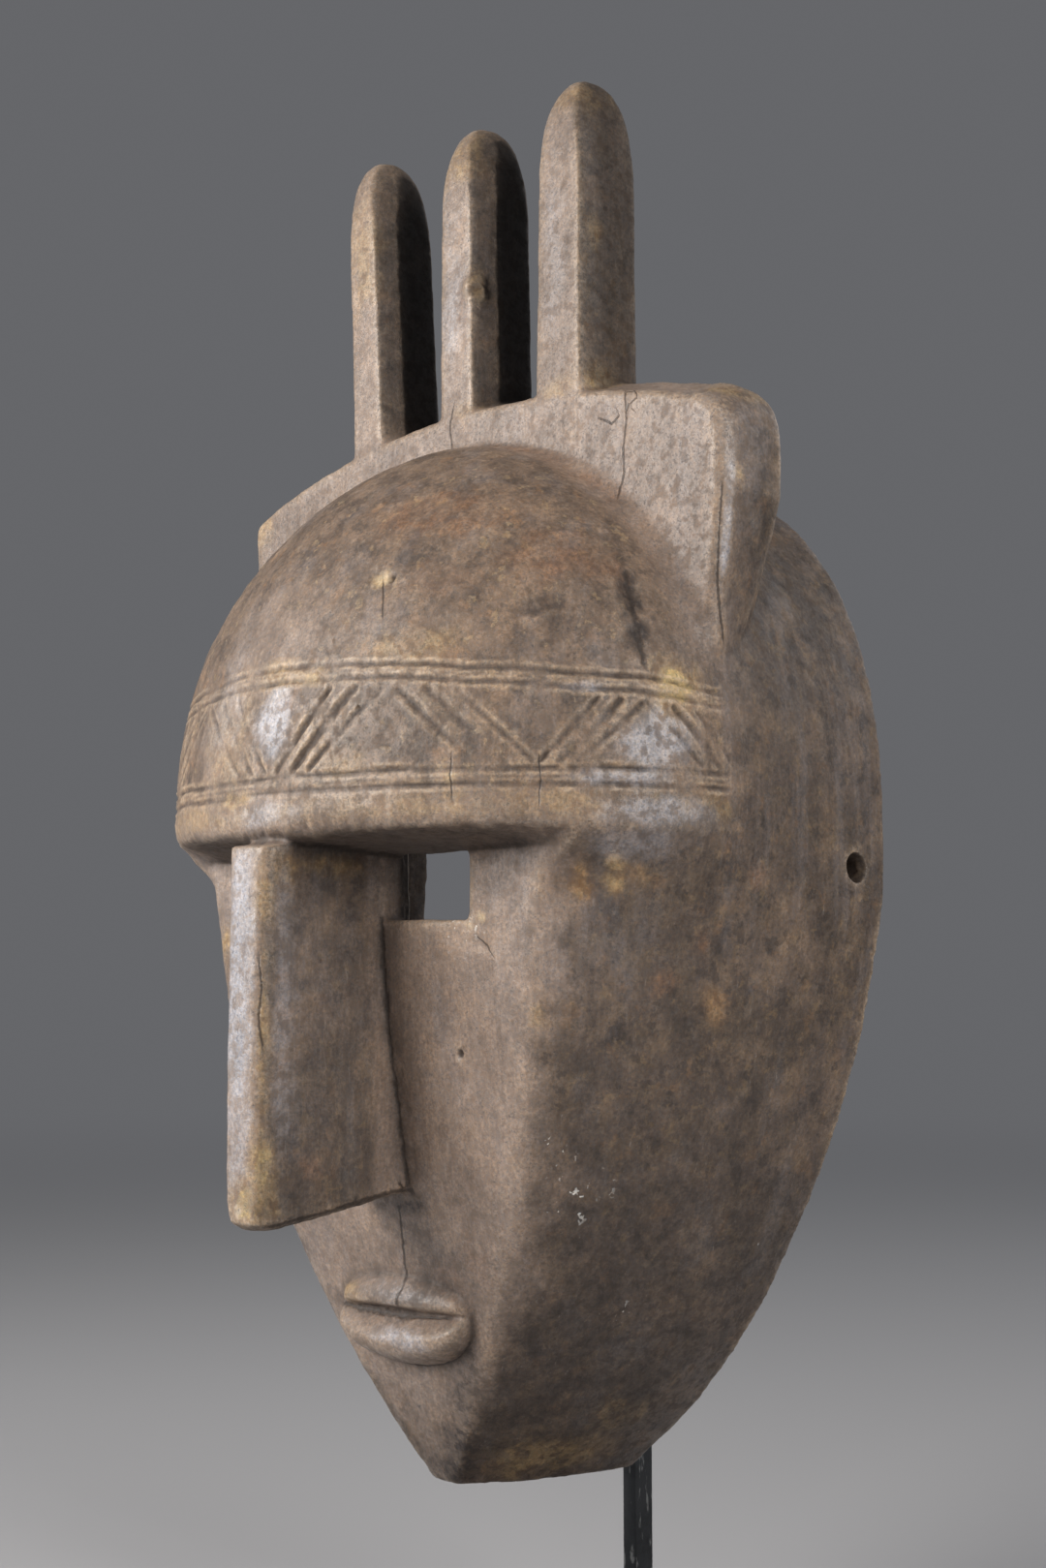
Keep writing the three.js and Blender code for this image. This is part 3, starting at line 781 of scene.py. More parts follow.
def zones_of(places, normals):
    """Where on the mask each vertex is, as shares from 0 to 1."""
    x, y, z = places.T
    dome_here = np.hypot(*dome_plan(places))
    off_dome = np.abs(dome_here - 1)
    in_front = smooth((CREST_FRONT + 8 - y) / 3)
    from_axis = y - HOLLOW_AXIS
    towards_axis = -(normals[:, 0] * x + normals[:, 1] * from_axis) / np.maximum(np.hypot(x, from_axis), 1)
    inner_half = np.maximum(rim_half_width(z), 10) - WALL * 0.5
    inside = smooth((towards_axis - 0.05) / 0.3) * (np.abs(x) < inner_half + 4)
    inside *= (z < 172) * (y > 5 - 45 * (z > 10))
    ceiling = smooth((-normals[:, 2] - 0.4) / 0.3) * (z > 60) * (z < 176) * (y > -30) * (np.abs(x) < 110)
    near_crest_front = bell(y - CREST_FRONT + 2, 9.0) * (z > 40)
    return {
        "dome": in_front * smooth((z - 15) / 6) * smooth(1 - off_dome * 6),
        "inside": np.maximum(inside, ceiling),
        "fillet": near_crest_front * smooth(1 - off_dome * 5) * smooth((dome_here - 0.9) / 0.1),
        "chin_edge": smooth((-244 - z) / 8),
        "horn_heads": smooth((z - 306) / 20),
    }


def carve_relief(surface, zones):
    places = surface.places
    normals = surface.normals()
    outside = 1 - zones["inside"]
    relief = 0.10 * cloud(places, (2.6, 2.6, 26), 1) + 0.24 * rough(places, 8, 2)
    relief += outside * 0.35 * cloud(places, (34, 34, 48), 4)
    relief += outside * (0.10 + 0.10 * zones["dome"]) * rough(places, 3.8, 3, 2)
    relief += outside * 0.28 * (tool_cuts(places, (20, 20, 30), 1) - 0.5)
    relief += zones["inside"] * (1.5 * (tool_cuts(places, (24, 24, 34), 4) - 0.4) + 0.3 * rough(places, 6, 5))
    cuts, ridges = band_relief(places, zones["dome"])
    surface.paint("cuts", cuts)
    surface.paint("ridges", ridges)
    relief += GROOVE_DEEP * (0.4 * ridges - cuts)
    ragged = 0.4 * rough(places, 5, 6, 2)
    for at, size, deep, soft in SPOTS:
        gap = np.linalg.norm((places - at) / size, axis=1) + ragged
        relief -= deep * smooth((1 - gap) / soft)
    relief += brow_edge_cuts(places)
    relief += horn_knot(places)
    surface.places = places + normals * relief[:, None]
    surface.write()


def brow_edge_cuts(places):
    """Upright knife cuts that leave the lower edge of the brow uneven."""
    _, y, z = places.T
    at_edge = bell(z - 15, 5.0) * smooth((CREST_FRONT - 30 - y) / 20)
    return at_edge * (0.7 * cloud(places, (5, 5, 40), 4) + 0.5 * cloud(places, (2.8, 2.8, 14), 2))


def horn_knot(places):
    """A raised, split knot on the front of the middle horn."""
    gap = np.linalg.norm((places - (8.0, 57.5, 262.0)) / (8.5, 7, 10), axis=1)
    return smooth((1 - gap) / 0.6) * (1.5 + 1.5 * rough(places, 4, 3, 2))


def paint_hollows_and_edges(surface):
    """Marks what hands have worn, and dirt with painted shade in creases and hollows, from how far each place
    stands out.
    """
    normals = surface.normals()
    mean = neighbour_mean(surface.edges, len(surface.places))
    flat = surface.places
    sunk = []
    for times, share in ((8, 0.7), (24, 0.9)):
        for _ in range(times):
            flat = flat + (mean(flat) - flat) * share
        sunk.append(((flat - surface.places) * normals).sum(1))
    near, wide = sunk
    _, y, z = surface.places.T
    on_arch = smooth((y - 140) / 10) * smooth((z + 30) / 30)
    surface.paint("worn", (-near * 2 - wide * 0.35 - 0.12) * (1 - 0.85 * on_arch))
    # Dirt and painted shade in creases and hollows, kept light beside the crest's front
    beside_crest = bell(y - CREST_FRONT + 2, 11) * (z > 60)
    surface.paint("grime", (near * 2 + wide * 0.17 - 0.06) * (1 - 0.9 * beside_crest))


def stain(places, patches):
    """How stained each place is by patches with broken edges, from 0 to 1."""
    ragged = 0.35 * rough(places, (7, 7, 11), 3)
    total = np.zeros(len(places))
    for at, size, strength in patches:
        gap = np.linalg.norm((places - at) / np.asarray(size, float), axis=1)
        total = np.maximum(total, strength * smooth((1.15 - gap + ragged) / 0.8))
    return total


# Stains and wear: place, size round it, and how strong it is
# Ochre stains; on the band's left they also serve as a painted warm highlight
OCHRE_AND_HIGHLIGHT = (
    ((139, 36, 68), 13, 1),
    ((116, 9, -1), (5, 6, 6), 0.6),
    ((113.5, 14, -8), (5, 6, 6), 0.6),
    ((125.5, 19.5, 1), (5, 6, 6), 0.85),
    ((122, 23, -6), (5, 6, 6), 0.8),
    ((129, 29, -1), (4, 5, 8), 0.4),
    ((132, 70, -53), (6, 7, 9), 0.4),
    ((98, 4, -57), 5, 0.6),
    ((5, -58, -130), (14, 12, 12), 1),
    ((11.2, -58.5, -72), (2.4, 3.5, 55), 0.8),
    ((10, -59, -8), (4, 6, 20), 0.6),
    ((11, -57, -116), (7, 8, 20), 0.95),
    ((13, -48, 0), (10, 12, 7), 0.7),
    ((-68, 56, 300), (12, 9, 28), 0.5),
    ((-4, 58, 326), (14, 14, 14), 0.6),
    ((8, 57, 262), (7, 8, 10), 0.65),
    ((66, 66, 334), (16, 18, 12), 0.5),
    ((78, 62, 272), (5, 7, 9), 0.6),
    ((77, 66, 208), (9, 15, 9), 0.9),
    ((140, 73, 192), (16, 16, 9), 0.6),
    ((151, 64.5, 152), 3.5, 0.9),
    ((-145, 55, 179), (12, 6, 14), 0.6),
    ((69, 55, 183), 3, 0.8),
    ((-24, -50, 58), (26, 14, 30), 0.35),
    ((4, -47, 77), (14, 12, 9), 0.8),
    ((44, -46, 40), (16, 12, 8), 0.5),
    ((-28, 17, -178), (10, 9, 8), 0.85),
    ((72, -38, 84), (30, 20, 9), 0.6),
    ((-18, -52, 26), (18, 10, 7), 0.8),
    ((-34, -48, 66), (14, 12, 16), 0.4),
    ((20, -46, 75), (16, 10, 5), 0.9),
    ((140, 34, 57), (5, 9, 8), 0.9),
    ((-97, 0, -28), (9, 9, 12), 0.8),
    ((36, 76, -244), (26, 34, 13), 0.75),
    ((60, 95, -225), (16, 20, 10), 0.5),
    ((10, -30, 2), (14, 22, 5), 0.7),
    ((3, 58, 208), (10, 6, 6), 0.5),
    ((60, 57, 206), (14, 6, 5), 0.5),
)

# Dark, uneven stains, and painted shadow under the nose's lower corner and along its lower edge
SOOT_AND_SHADE = (
    ((107, -3, 99), (13, 10, 6), 0.8),
    ((114, 4, 93), (9, 8, 8), 0.5),
    ((123, 29, 110), (4, 5, 7), 0.8),
    ((126.5, 27, 101), (5, 6, 7), 1),
    ((131, 25.5, 89), (4.5, 5, 9), 1),
    ((133, 25, 79), (3, 4, 5), 0.7),
    ((11, 59, 250), (3, 4, 8), 0.8),
    ((60, -30, 125), (30, 26, 22), 0.35),
    ((17, 42, -236), (15, 12, 19), 1),
    ((10, 46, -249), (20, 14, 9), 1),
    ((22, 40, -222), (10, 12, 16), 0.6),
    ((36, 27, -195), (7, 8, 8), 0.8),
    ((88, 20, -100), (9, 14, 46), 0.45),
    # These four: painted shadow under the nose's lower corner and along its lower edge
    ((2, 13, -137), (14, 10, 7), 0.6),
    ((14, 13.5, -136), (13, 8, 6), 1),
    ((14, -45, -138), (6, 20, 4), 0.8),
    ((16, -12, -133), (6, 20, 4), 0.9),
    ((14, -22, -70), (4, 34, 70), 0.22),
    ((11.8, -59, -75), (1.8, 3, 34), 0.5),
    ((56.4, 3.9, -72.5), (1.8, 3, 1.8), 1),
    ((60, -38, 54), (62, 32, 20), 0.28),
    ((26, -52, 21), (34, 12, 7), 0.24),
    ((12, 38, -226), (17, 12, 17), 0.22),
    ((70, 60, 330), (14, 16, 12), 0.4),
)

# Places rubbed glossy, with pale bluish painted highlights where the lamps glint on them
POLISH_AND_HIGHLIGHT = (
    ((4, -50, 58), (18, 10, 13), 1),
    ((-32, -46, 68), (18, 20, 20), 0.35),
    ((137, 27, 45), (14, 18, 14), 0.8),
    ((132, 12, 32), (20, 30, 4), 0.85),
    ((138, 25, 20), (22, 34, 7), 0.8),
    ((0, -50, 22), (24, 12, 7), 0.6),
    ((-3, -61, -50), (12, 5, 78), 1),
    ((12.8, -50, -60), (3, 5, 75), 0.42),
    ((13, -30, -62), (4, 30, 75), 0.08),
    ((130, 22, 8), (16, 22, 9), 0.35),
    ((8, -47, 71), (7, 8, 2), 0.9),
    ((122, 6, 66), (8, 12, 2.5), 0.8),
    ((148.5, 59.3, 128), (4, 2.4, 42), 0.9),
    ((58, 54, 262), (8, 4, 50), 0.3),
    ((-6, 54, 262), (8, 4, 40), 0.5),
    ((104, 8, -30), (5, 8, 30), 0.12),
    ((6, 15, -173), (27, 8, 6), 0.32),
    ((10, 16, -190), (24, 8, 4), 0.7),
    ((150, 70, 165), (8, 16, 38), 0.16),
)

# Reddish and orange stains
RUST = (
    ((55, -5, 141), (36, 24, 16), 0.55),
    ((100, 8, 120), (24, 22, 14), 0.62),
    ((116, 20, 112), (12, 12, 10), 0.6),
    ((70, -22, 112), (20, 14, 9), 0.4),
    ((132, 70, -53), (7, 7, 8), 0.9),
    ((125, 45.5, -44), (6, 7, 7), 0.8),
    ((134, 59, -29), (3, 4, 8), 0.7),
    ((145, 79, -3), (4, 5, 5), 0.5),
    ((116, 9, -1), (5, 7, 7), 1),
    ((113.5, 14, -8), (5, 7, 6), 1),
    ((129, 29, -1), (3, 5, 7), 0.5),
    ((13, -36, -117), (4, 5, 7), 0.9),
    ((36, 24, -170), (14, 12, 16), 0.35),
    ((52, 20, -152), (12, 12, 14), 0.25),
)

# Fresh chips that show pale wood
FRESH = (
    ((44.5, -28, 113), (5, 6, 4.2), 1),
    ((88.1, -31.2, 31.6), (1.4, 3, 4), 1),
    ((71.9, 0.3, -18.8), (3.5, 4, 2.2), 0.9),
    ((66, 0.4, -21.5), (3, 4, 1.8), 0.6),
)

# Where pale flecks cling
FLECKS = (
    ((92, 19, -108), (7, 9, 7), 1),
    ((90, 30, -128), (8, 12, 14), 1),
    ((98, 42, -122), (5, 6, 8), 0.7),
    ((60, 1, -24), (14, 5, 10), 0.7),
    ((110, 125, -150), 6, 0.6),
    ((55, 40, -195), 5, 0.7),
    ((82, 68, -176), 5, 0.6),
)


# Where the forehead shows the face's tan: partly worn, partly painted light on its side towards the lamps
WORN_FRONT_AND_LIGHT = (
    ((-8, -44, 90), (40, 30, 36), 1),
    ((-34, -45, 54), 26, 1),
)

# The dark edge beside the chin, from its top to its foot
CHIN_CORNER = ((36, 28, -198), (13, 45, -246))


def paint_zones(surface):
    """Writes the zones, the stains and the painted shade and highlights to the mesh, where the wood's
    material reads them.
    """
    places = surface.places
    normals = surface.normals()
    zones = zones_of(places, normals)
    x, y, z = places.T
    rightward, backward, _ = normals.T
    outside = 1 - zones["inside"]
    half_width = np.maximum(CHIN_HALF_WIDTH, FACE_HALF_WIDTH * (1 - drop(z) ** 2))
    half_width -= 15 * smooth((-190 - z) / 40)
    wander = 9 * cloud(places, 32, 5) + 5 * rough(places, 9, 3)
    past_face = smooth((np.abs(x) - half_width + 4 + wander) / 19) * smooth((20 - z) / 16)
    # beside_nose: the nose's side faces take the sides' dark colour, partly dark patina and partly painted
    # shade
    beside_nose = smooth((np.abs(rightward) - 0.55) / 0.3) * (np.abs(x) < 24) * smooth((-y - 2) / 8)
    beside_nose *= 0.92 * (z < 14) * (z > -140)
    # horn_side: painted shade, the sides' dark colour on the horns' right-facing sides, turned from the key
    # lamp
    horn_side = 0.9 * smooth((rightward - 0.2 + 0.15 * rough(places, 7, 2)) / 0.25) * smooth((z - 203) / 8)
    chin_side = 0.45 * smooth((-200 - z) / 25)
    behind = smooth((y - 45) / 35) * smooth((z + 10) / 20)
    below_band = 0.8 * smooth((34 - z) / 10) * smooth((y + 5) / 30) * (z > 0)
    behind = np.maximum(behind, below_band) * (z < 190)
    flank = np.maximum.reduce([past_face, beside_nose, horn_side, chin_side, behind])
    surface.paint("flank", flank * outside)
    # The forehead's brown gives way to tan where it is worn and where light is painted on its left side
    on_front = zones["dome"] * smooth((z - 24) / 8) * (1 - 0.85 * stain(places, WORN_FRONT_AND_LIGHT))
    on_front *= 1 - 0.9 * smooth((y - 38) / 12) * smooth((z - 70) / 20)
    surface.paint("dome", on_front)
    surface.paint("inside", zones["inside"])
    rim = smooth((y - rim_depth(z) + 5) / 4) * smooth((-10 - z) / 40) * smooth(0.5 + rough(places, 9, 2))
    # lip: a painted ochre highlight on the front-facing lower edge of the brow
    lip = zones["dome"] * smooth((30 - z) / 6) * smooth((-backward + rightward * 0.3) / 0.4)
    surface.paint("ochre", np.maximum.reduce([stain(places, OCHRE_AND_HIGHLIGHT), 0.45 * rim * outside, 0.45 * lip]))
    # Darker towards the bottom on the sides and the face: painted shade where the light falls off downwards
    low_down = 0.60 * flank * smooth((-40 - z) / 150)
    low_face = 0.17 * smooth((-70 - z) / 130) * outside
    upper_lip = 0.6 * bell(z + 175, 5) * bell(x - 6, 34) * smooth((face_front(z) - 3 - y) / 3)
    from_chin_corner, _ = segment_distance(places, *CHIN_CORNER)
    chin_corner = 0.75 * bell(from_chin_corner, 11) * outside
    soot = np.maximum.reduce([stain(places, SOOT_AND_SHADE), low_down, low_face, upper_lip, chin_corner])
    surface.paint("soot", soot)
    over_dome = 0.55 * zones["fillet"] * smooth((z - 120) / 30) * smooth(0.45 + rough(places, 15, 6))
    surface.paint("rust", np.maximum(stain(places, RUST), over_dome))
    # The glossy places also carry painted pale highlights
    for name, patches in (("polish", POLISH_AND_HIGHLIGHT), ("fresh", FRESH), ("flecks", FLECKS)):
        surface.paint(name, stain(places, patches))
    aside, near = line_field(places, normals)
    surface.paint("crack_side", 0.5 + aside / (2 * LINE_REACH))
    surface.paint("crack_near", near)
    surface.paint("shade", shade_of(places, normals) * outside)


def shade_of(places, normals):
    """Painted shade: the hollows that light hardly reaches, under the brow and the nose and on the eye holes'
    inner walls, and the darker sides of the horns, the arch and the flank turned from the lamps.
    """
    x, y, z = places.T
    rightward, _, upward = normals.T
    under_brow = 0.7 * smooth((17 - z) / 5) * smooth((z - 2) / 6) * smooth((-upward - 0.15) / 0.4)
    under_brow *= (y < 12) * smooth((116 - np.abs(x)) / 24)
    in_eye = (np.abs(np.abs(x) - EYE_INNER) < 3) * (z > EYE_BOTTOM - 1) * (z < EYE_TOP + 2)
    in_eye = in_eye * smooth((y - 6) / 6) * smooth((rightward * np.sign(x) - 0.3) / 0.3)
    on_horn = smooth((z - 202) / 8)
    gap_side = smooth((rightward - 0.80 + 0.06 * rough(places, 9, 4)) / 0.16) * (x < 30)
    gap_side = np.maximum(gap_side, smooth((-rightward - 0.6) / 0.3) * (x > -45)) * smooth((z - 200) / 10)
    chamfer = 0.5 * smooth((rightward - 0.35) / 0.4) * on_horn * (x < 30)
    third_horn = (0.26 + 0.28 * smooth((y - 60) / 12)) * smooth((rightward - 0.4) / 0.4)
    third_horn = (third_horn + 0.17) * on_horn * (x > 40)
    under_nose = 0.55 * smooth((-upward - 0.2) / 0.4) * (np.abs(x) < 26) * (y < 12)
    under_nose *= smooth((z + 152) / 6) * smooth((-118 - z) / 6)
    arch = 0.22 * smooth((y - 60) / 30) * smooth((z + 20) / 80)
    low_side = 0.2 * smooth((-60 - z) / 120) * smooth((rightward - 0.4) / 0.3)
    return np.maximum.reduce([under_brow, in_eye, gap_side, chamfer, third_horn, under_nose, arch, low_side])


class Finish:
    """A material's or a group's nodes, with short ways to add the common ones."""

    def __init__(self, tree):
        self.tree = tree

    def add(self, kind, inputs=(), **settings):
        made = self.tree.nodes.new(kind)
        for name, value in settings.items():
            setattr(made, name, value)
        self.feed(made, dict(inputs))
        return made

    def feed(self, node, inputs):
        """Links or sets a node's inputs. A colour is given as three parts."""
        for name, value in inputs.items():
            socket = node.inputs[name]
            if isinstance(value, bpy.types.NodeSocket):
                self.tree.links.new(value, socket)
            else:
                socket.default_value = (*value, 1.0) if socket.type == "RGBA" else value

    def place(self):
        return self.add("ShaderNodeTexCoord").outputs["Object"]

    def drawn_out(self, place, height_scale):
        scale = (1.0, 1.0, height_scale)
        return self.add("ShaderNodeMapping", {"Vector": place, "Scale": scale}).outputs["Vector"]

    def math(self, operation, a, b=0.0):
        return self.add("ShaderNodeMath", {0: a, 1: b}, operation=operation).outputs[0]

    def times(self, a, b):
        return self.math("MULTIPLY", a, b)

    def plus(self, base, *parts):
        """Adds to a base each part times its weight."""
        for value, weight in parts:
            base = self.math("ADD", base, self.times(value, weight))
        return base

    def mix(self, share, a, b, blend="MIX"):
        made = self.add("ShaderNodeMix", {0: share, 6: a, 7: b}, data_type="RGBA", blend_type=blend)
        return made.outputs[2]

    def coats(self, base, *coats):
        """Lays coats over a base colour, each with its mask, how strong it is, and its colour."""
        for mask, strength, colour in coats:
            share = mask if strength == 1 else self.times(mask, strength)
            base = self.mix(share, base, colour)
        return base

    def steps(self, value, low, high, to_low=0.0, to_high=1.0):
        inputs = {"Value": value, "From Min": low, "From Max": high, "To Min": to_low, "To Max": to_high}
        return self.add("ShaderNodeMapRange", inputs, interpolation_type="SMOOTHSTEP").outputs["Result"]

    def noise(self, place, scale, detail=4.0, roughness=0.6):
        inputs = {"Vector": place, "Scale": scale, "Detail": detail, "Roughness": roughness}
        return self.add("ShaderNodeTexNoise", inputs).outputs["Fac"]

    def attributes(self, names):
        for name in names.split():
            yield self.add("ShaderNodeAttribute", attribute_name=name).outputs["Fac"]

    def patches(self, place, scale, low, high):
        given = {"Place": place, "Scale": scale, "Low": low, "High": high}
        return self.add("ShaderNodeGroup", given, node_tree=PATCHES).outputs["Mask"]

    def bump(self, height, strength, distance):
        inputs = {"Strength": strength, "Distance": distance, "Height": height}
        return self.add("ShaderNodeBump", inputs).outputs["Normal"]


def patches_group():
    """Irregular patches of one size over a surface: a mask from 0 to 1."""
    tree = bpy.data.node_groups.new("patches", "ShaderNodeTree")
    for name in ("Place", "Scale", "Low", "High"):
        kind = "NodeSocketVector" if name == "Place" else "NodeSocketFloat"
        tree.interface.new_socket(name, in_out="INPUT", socket_type=kind)
    tree.interface.new_socket("Mask", in_out="OUTPUT", socket_type="NodeSocketFloat")
    finish = Finish(tree)
    place, scale, low, high = list(finish.add("NodeGroupInput").outputs)[:4]
    spread = finish.noise(place, scale, 6.0, 0.62)
    finish.add("NodeGroupOutput", {"Mask": finish.steps(spread, low, high)})
    return tree


PATCHES = patches_group()


def new_finish(name):
    material = bpy.data.materials.new(name)
    material.use_nodes = True
    material.node_tree.nodes.clear()
    finish = Finish(material.node_tree)
    shader = finish.add("ShaderNodeBsdfPrincipled")
    finish.add("ShaderNodeOutputMaterial", {"Surface": shader.outputs["BSDF"]})
    return material, finish, shader


def crack_and_shadow_lines(finish, place):
    """The fine cracks and painted shadow lines as a mask, from the two attributes that say where they run."""
    side, near = finish.attributes("crack_side crack_near")
    aside = finish.times(finish.math("SUBTRACT", side, 0.5), 2 * LINE_REACH)
    wobble = finish.math("SUBTRACT", finish.noise(place, 260, 3), 0.5)
    aside = finish.math("ABSOLUTE", finish.plus(aside, (wobble, 4)))
    return finish.times(finish.steps(aside, 0.3, 1.8, 1, 0), near)


def carved_wood():
    """Old wood: tan in front, dark on the sides and brown on the forehead, with wear, dirt and stains, and
    painted shade and highlights.
    """
    material, finish, shader = new_finish("carved_wood")
    place = finish.place()
    upright = finish.drawn_out(place, 0.12)
    fibres = finish.noise(upright, 460, 5, 0.65)
    specks = finish.noise(place, 620, 4, 0.75)
    pits = finish.noise(place, 900, 2, 0.6)
    mottle = finish.patches(place, 85, 0.42, 0.62)
    clouds = finish.patches(place, 17, 0.38, 0.64)
    small = finish.patches(place, 210, 0.46, 0.62)
    blots = finish.patches(place, 120, 0.54, 0.60)
    rusty = finish.patches(place, 78, 0.595, 0.64)
    gold = finish.patches(place, 170, 0.60, 0.635)
    veil = finish.patches(place, 48, 0.50, 0.66)
    glaze = finish.patches(upright, 64, 0.50, 0.68)
    flank, dome, inside, worn = finish.attributes("flank dome inside worn")
    grime, shade, soot, cuts, ridges = finish.attributes("grime shade soot cuts ridges")
    ochre, rust, polish, fresh, flecks = finish.attributes("ochre rust polish fresh flecks")

    face = finish.mix(clouds, (0.310, 0.236, 0.190), (0.240, 0.178, 0.140))
    side = finish.coats(
        finish.mix(clouds, (0.132, 0.098, 0.078), (0.080, 0.059, 0.046)),
        (mottle, 0.40, (0.180, 0.126, 0.080)),
        (blots, 0.60, (0.045, 0.035, 0.030)),
        (rusty, 0.26, (0.250, 0.135, 0.060)),
        (gold, 0.24, (0.300, 0.200, 0.100)),
    )
    crown = finish.coats(
        finish.mix(mottle, (0.198, 0.137, 0.096), (0.110, 0.076, 0.054)),
        (blots, 0.55, (0.060, 0.046, 0.038)),
        (rusty, 0.45, (0.300, 0.165, 0.080)),
        (gold, 0.50, (0.400, 0.285, 0.160)),
    )
    hollow_wood = finish.mix(mottle, (0.078, 0.051, 0.034), (0.046, 0.030, 0.021))
    cool = finish.times(glaze, finish.plus(0.20, (inside, -0.20)))
    rust_edge = finish.times(rust, finish.steps(mottle, 0, 0.6, 0.35, 0.9))
    reddish = finish.mix(small, (0.285, 0.155, 0.088), (0.180, 0.092, 0.052))
    # Ochre stains with painted warm highlights
    ochre_highlight_edge = finish.times(ochre, finish.steps(mottle, 0, 0.6, 0.45, 1))
    ochre_highlight_colour = finish.mix(small, (0.440, 0.300, 0.145), (0.290, 0.170, 0.070))
    ochre_highlight_colour = finish.mix(finish.steps(ochre, 0.85, 1), ochre_highlight_colour, (0.620, 0.450, 0.190))
    colour = finish.coats(
        face,
        (blots, 0.30, (0.150, 0.105, 0.078)),
        (flank, 1, side),
        (dome, 0.85, crown),
        (inside, 1, hollow_wood),
        (veil, 0.18, (0.340, 0.225, 0.135)),
        (cool, 1, (0.260, 0.250, 0.265)),
        (rust_edge, 1, reddish),
        (ochre_highlight_edge, 1, ochre_highlight_colour),
    )
    edge = finish.times(worn, finish.steps(specks, 0.35, 0.6, 0.45, 1))
    # Paler band ridges: wear, with painted highlight along their crests
    ridge = finish.times(ridges, finish.steps(small, 0, 0.9, 1, 0.45))
    # Pale bluish painted highlight on the glossy rubbed places
    painted_highlight = finish.times(polish, finish.steps(small, 0, 1, 1, 0.45))
    dark = finish.times(small, finish.steps(specks, 0.45, 0.6))
    dark = finish.math("MAXIMUM", dark, finish.steps(pits, 0.62, 0.70))
    sparse = finish.steps(finish.noise(place, 520, 3, 0.7), 0.63, 0.70)
    # Dark stains, with painted shadow under the nose and painted shade low on the face and sides
    stains = finish.times(soot, finish.steps(small, 0, 0.7, 0.70, 1))
    pale = finish.times(finish.steps(fibres, 0.60, 0.70), finish.steps(small, 0.2, 0.8))
    # Cracks, and painted shadow lines at the nose and the lips
    cracks_and_shadow_lines = crack_and_shadow_lines(finish, place)
    fleck = finish.times(flecks, finish.steps(finish.noise(place, 330, 2, 0.5), 0.64, 0.68))
    colour = finish.coats(
        colour,
        (edge, 0.6, (0.480, 0.370, 0.270)),
        (cuts, 0.35, (0.100, 0.068, 0.048)),
        (ridge, 0.60, (0.500, 0.370, 0.250)),
        # painted highlight
        (painted_highlight, 0.8, (0.480, 0.470, 0.500)),
        (dark, 0.40, (0.055, 0.040, 0.034)),
        (sparse, 0.38, (0.070, 0.048, 0.038)),
        (stains, 1, (0.040, 0.030, 0.026)),
        (pale, 0.2, (0.480, 0.420, 0.370)),
        # dirt and painted shade in creases and hollows
        (grime, 0.75, (0.050, 0.036, 0.028)),
        (shade, 0.95, (0.012, 0.008, 0.006)),
        (fresh, 1, (0.600, 0.450, 0.270)),
        (cracks_and_shadow_lines, 0.85, (0.035, 0.024, 0.018)),
        (fleck, 1, (0.700, 0.680, 0.640)),
    )
    tones = finish.steps(specks, 0.34, 0.66, 0.76, 1.25)
    tones = finish.times(tones, finish.steps(fibres, 0.3, 0.7, 0.9, 1.1))
    tones = finish.times(tones, finish.steps(finish.noise(place, 48, 3), 0.35, 0.65, 0.89, 1.11))
    grey = finish.add("ShaderNodeCombineColor", {0: tones, 1: tones, 2: tones}).outputs[0]
    tint = finish.mix(finish.steps(pits, 0.38, 0.62), (1.05, 0.995, 0.93), (0.95, 1.0, 1.06))
    for change in (grey, tint):
        colour = finish.mix(1.0, colour, change, "MULTIPLY")

    dull = finish.plus(
        finish.steps(small, 0, 1, 0.40, 0.58),
        (inside, 0.25), (grime, 0.2), (dome, 0.08), (shade, 0.5), (polish, -0.16), (worn, -0.10),
    )
    height = finish.plus(finish.times(specks, 0.7), (fibres, 0.4), (dark, -0.3))
    normal = finish.bump(finish.math("SUBTRACT", height, cracks_and_shadow_lines), 0.5, 0.0007)
    finish.feed(shader, {"Base Color": colour, "Roughness": dull, "Normal": normal})
    return material


def blackened_steel(name, base, scuffed, scuffs):
    """Steel with a dark wax, scratched pale in places."""
    material, finish, shader = new_finish(name)
    place = finish.place()
    marks = finish.patches(finish.drawn_out(place, 0.25), 260, 0.60 - scuffs, 0.68 - scuffs)
    broad = finish.patches(place, 38, 0.35, 0.7)
    colour = finish.mix(broad, base, tuple(part * 0.6 for part in base))
    colour = finish.coats(colour, (marks, 0.6, scuffed))
    dull = finish.steps(broad, 0, 1, 0.42, 0.6)
    normal = finish.bump(finish.noise(place, 900, 3, 0.6), 0.3, 0.0004)
    finish.feed(shader, {"Base Color": colour, "Roughness": dull, "Normal": normal, "Metallic": 0.85})
    return material


# Steel post and foot
POST_WIDTH = 8.0
POST_DEPTH = 12.0
POST_FRONT = 165.0
POST_TOP = 150.0
POST_BEVEL = 0.7
CHIN_ARM_HEIGHT = -200.0
FOOT_TOP = -362.0
FOOT_THICKNESS = 10.0
FOOT_BEVEL = 1.4
FOOT_HALF_WIDTH = 80.0
FOOT_FRONT = -6.0
FOOT_BACK = 201.4
CLEARANCE = 0.3


def soften_edges(piece, width):
    settle(piece, ("BEVEL", {"width": width * MM, "segments": 2, "limit_method": "ANGLE"}))
    piece.data.shade_smooth()
    return piece


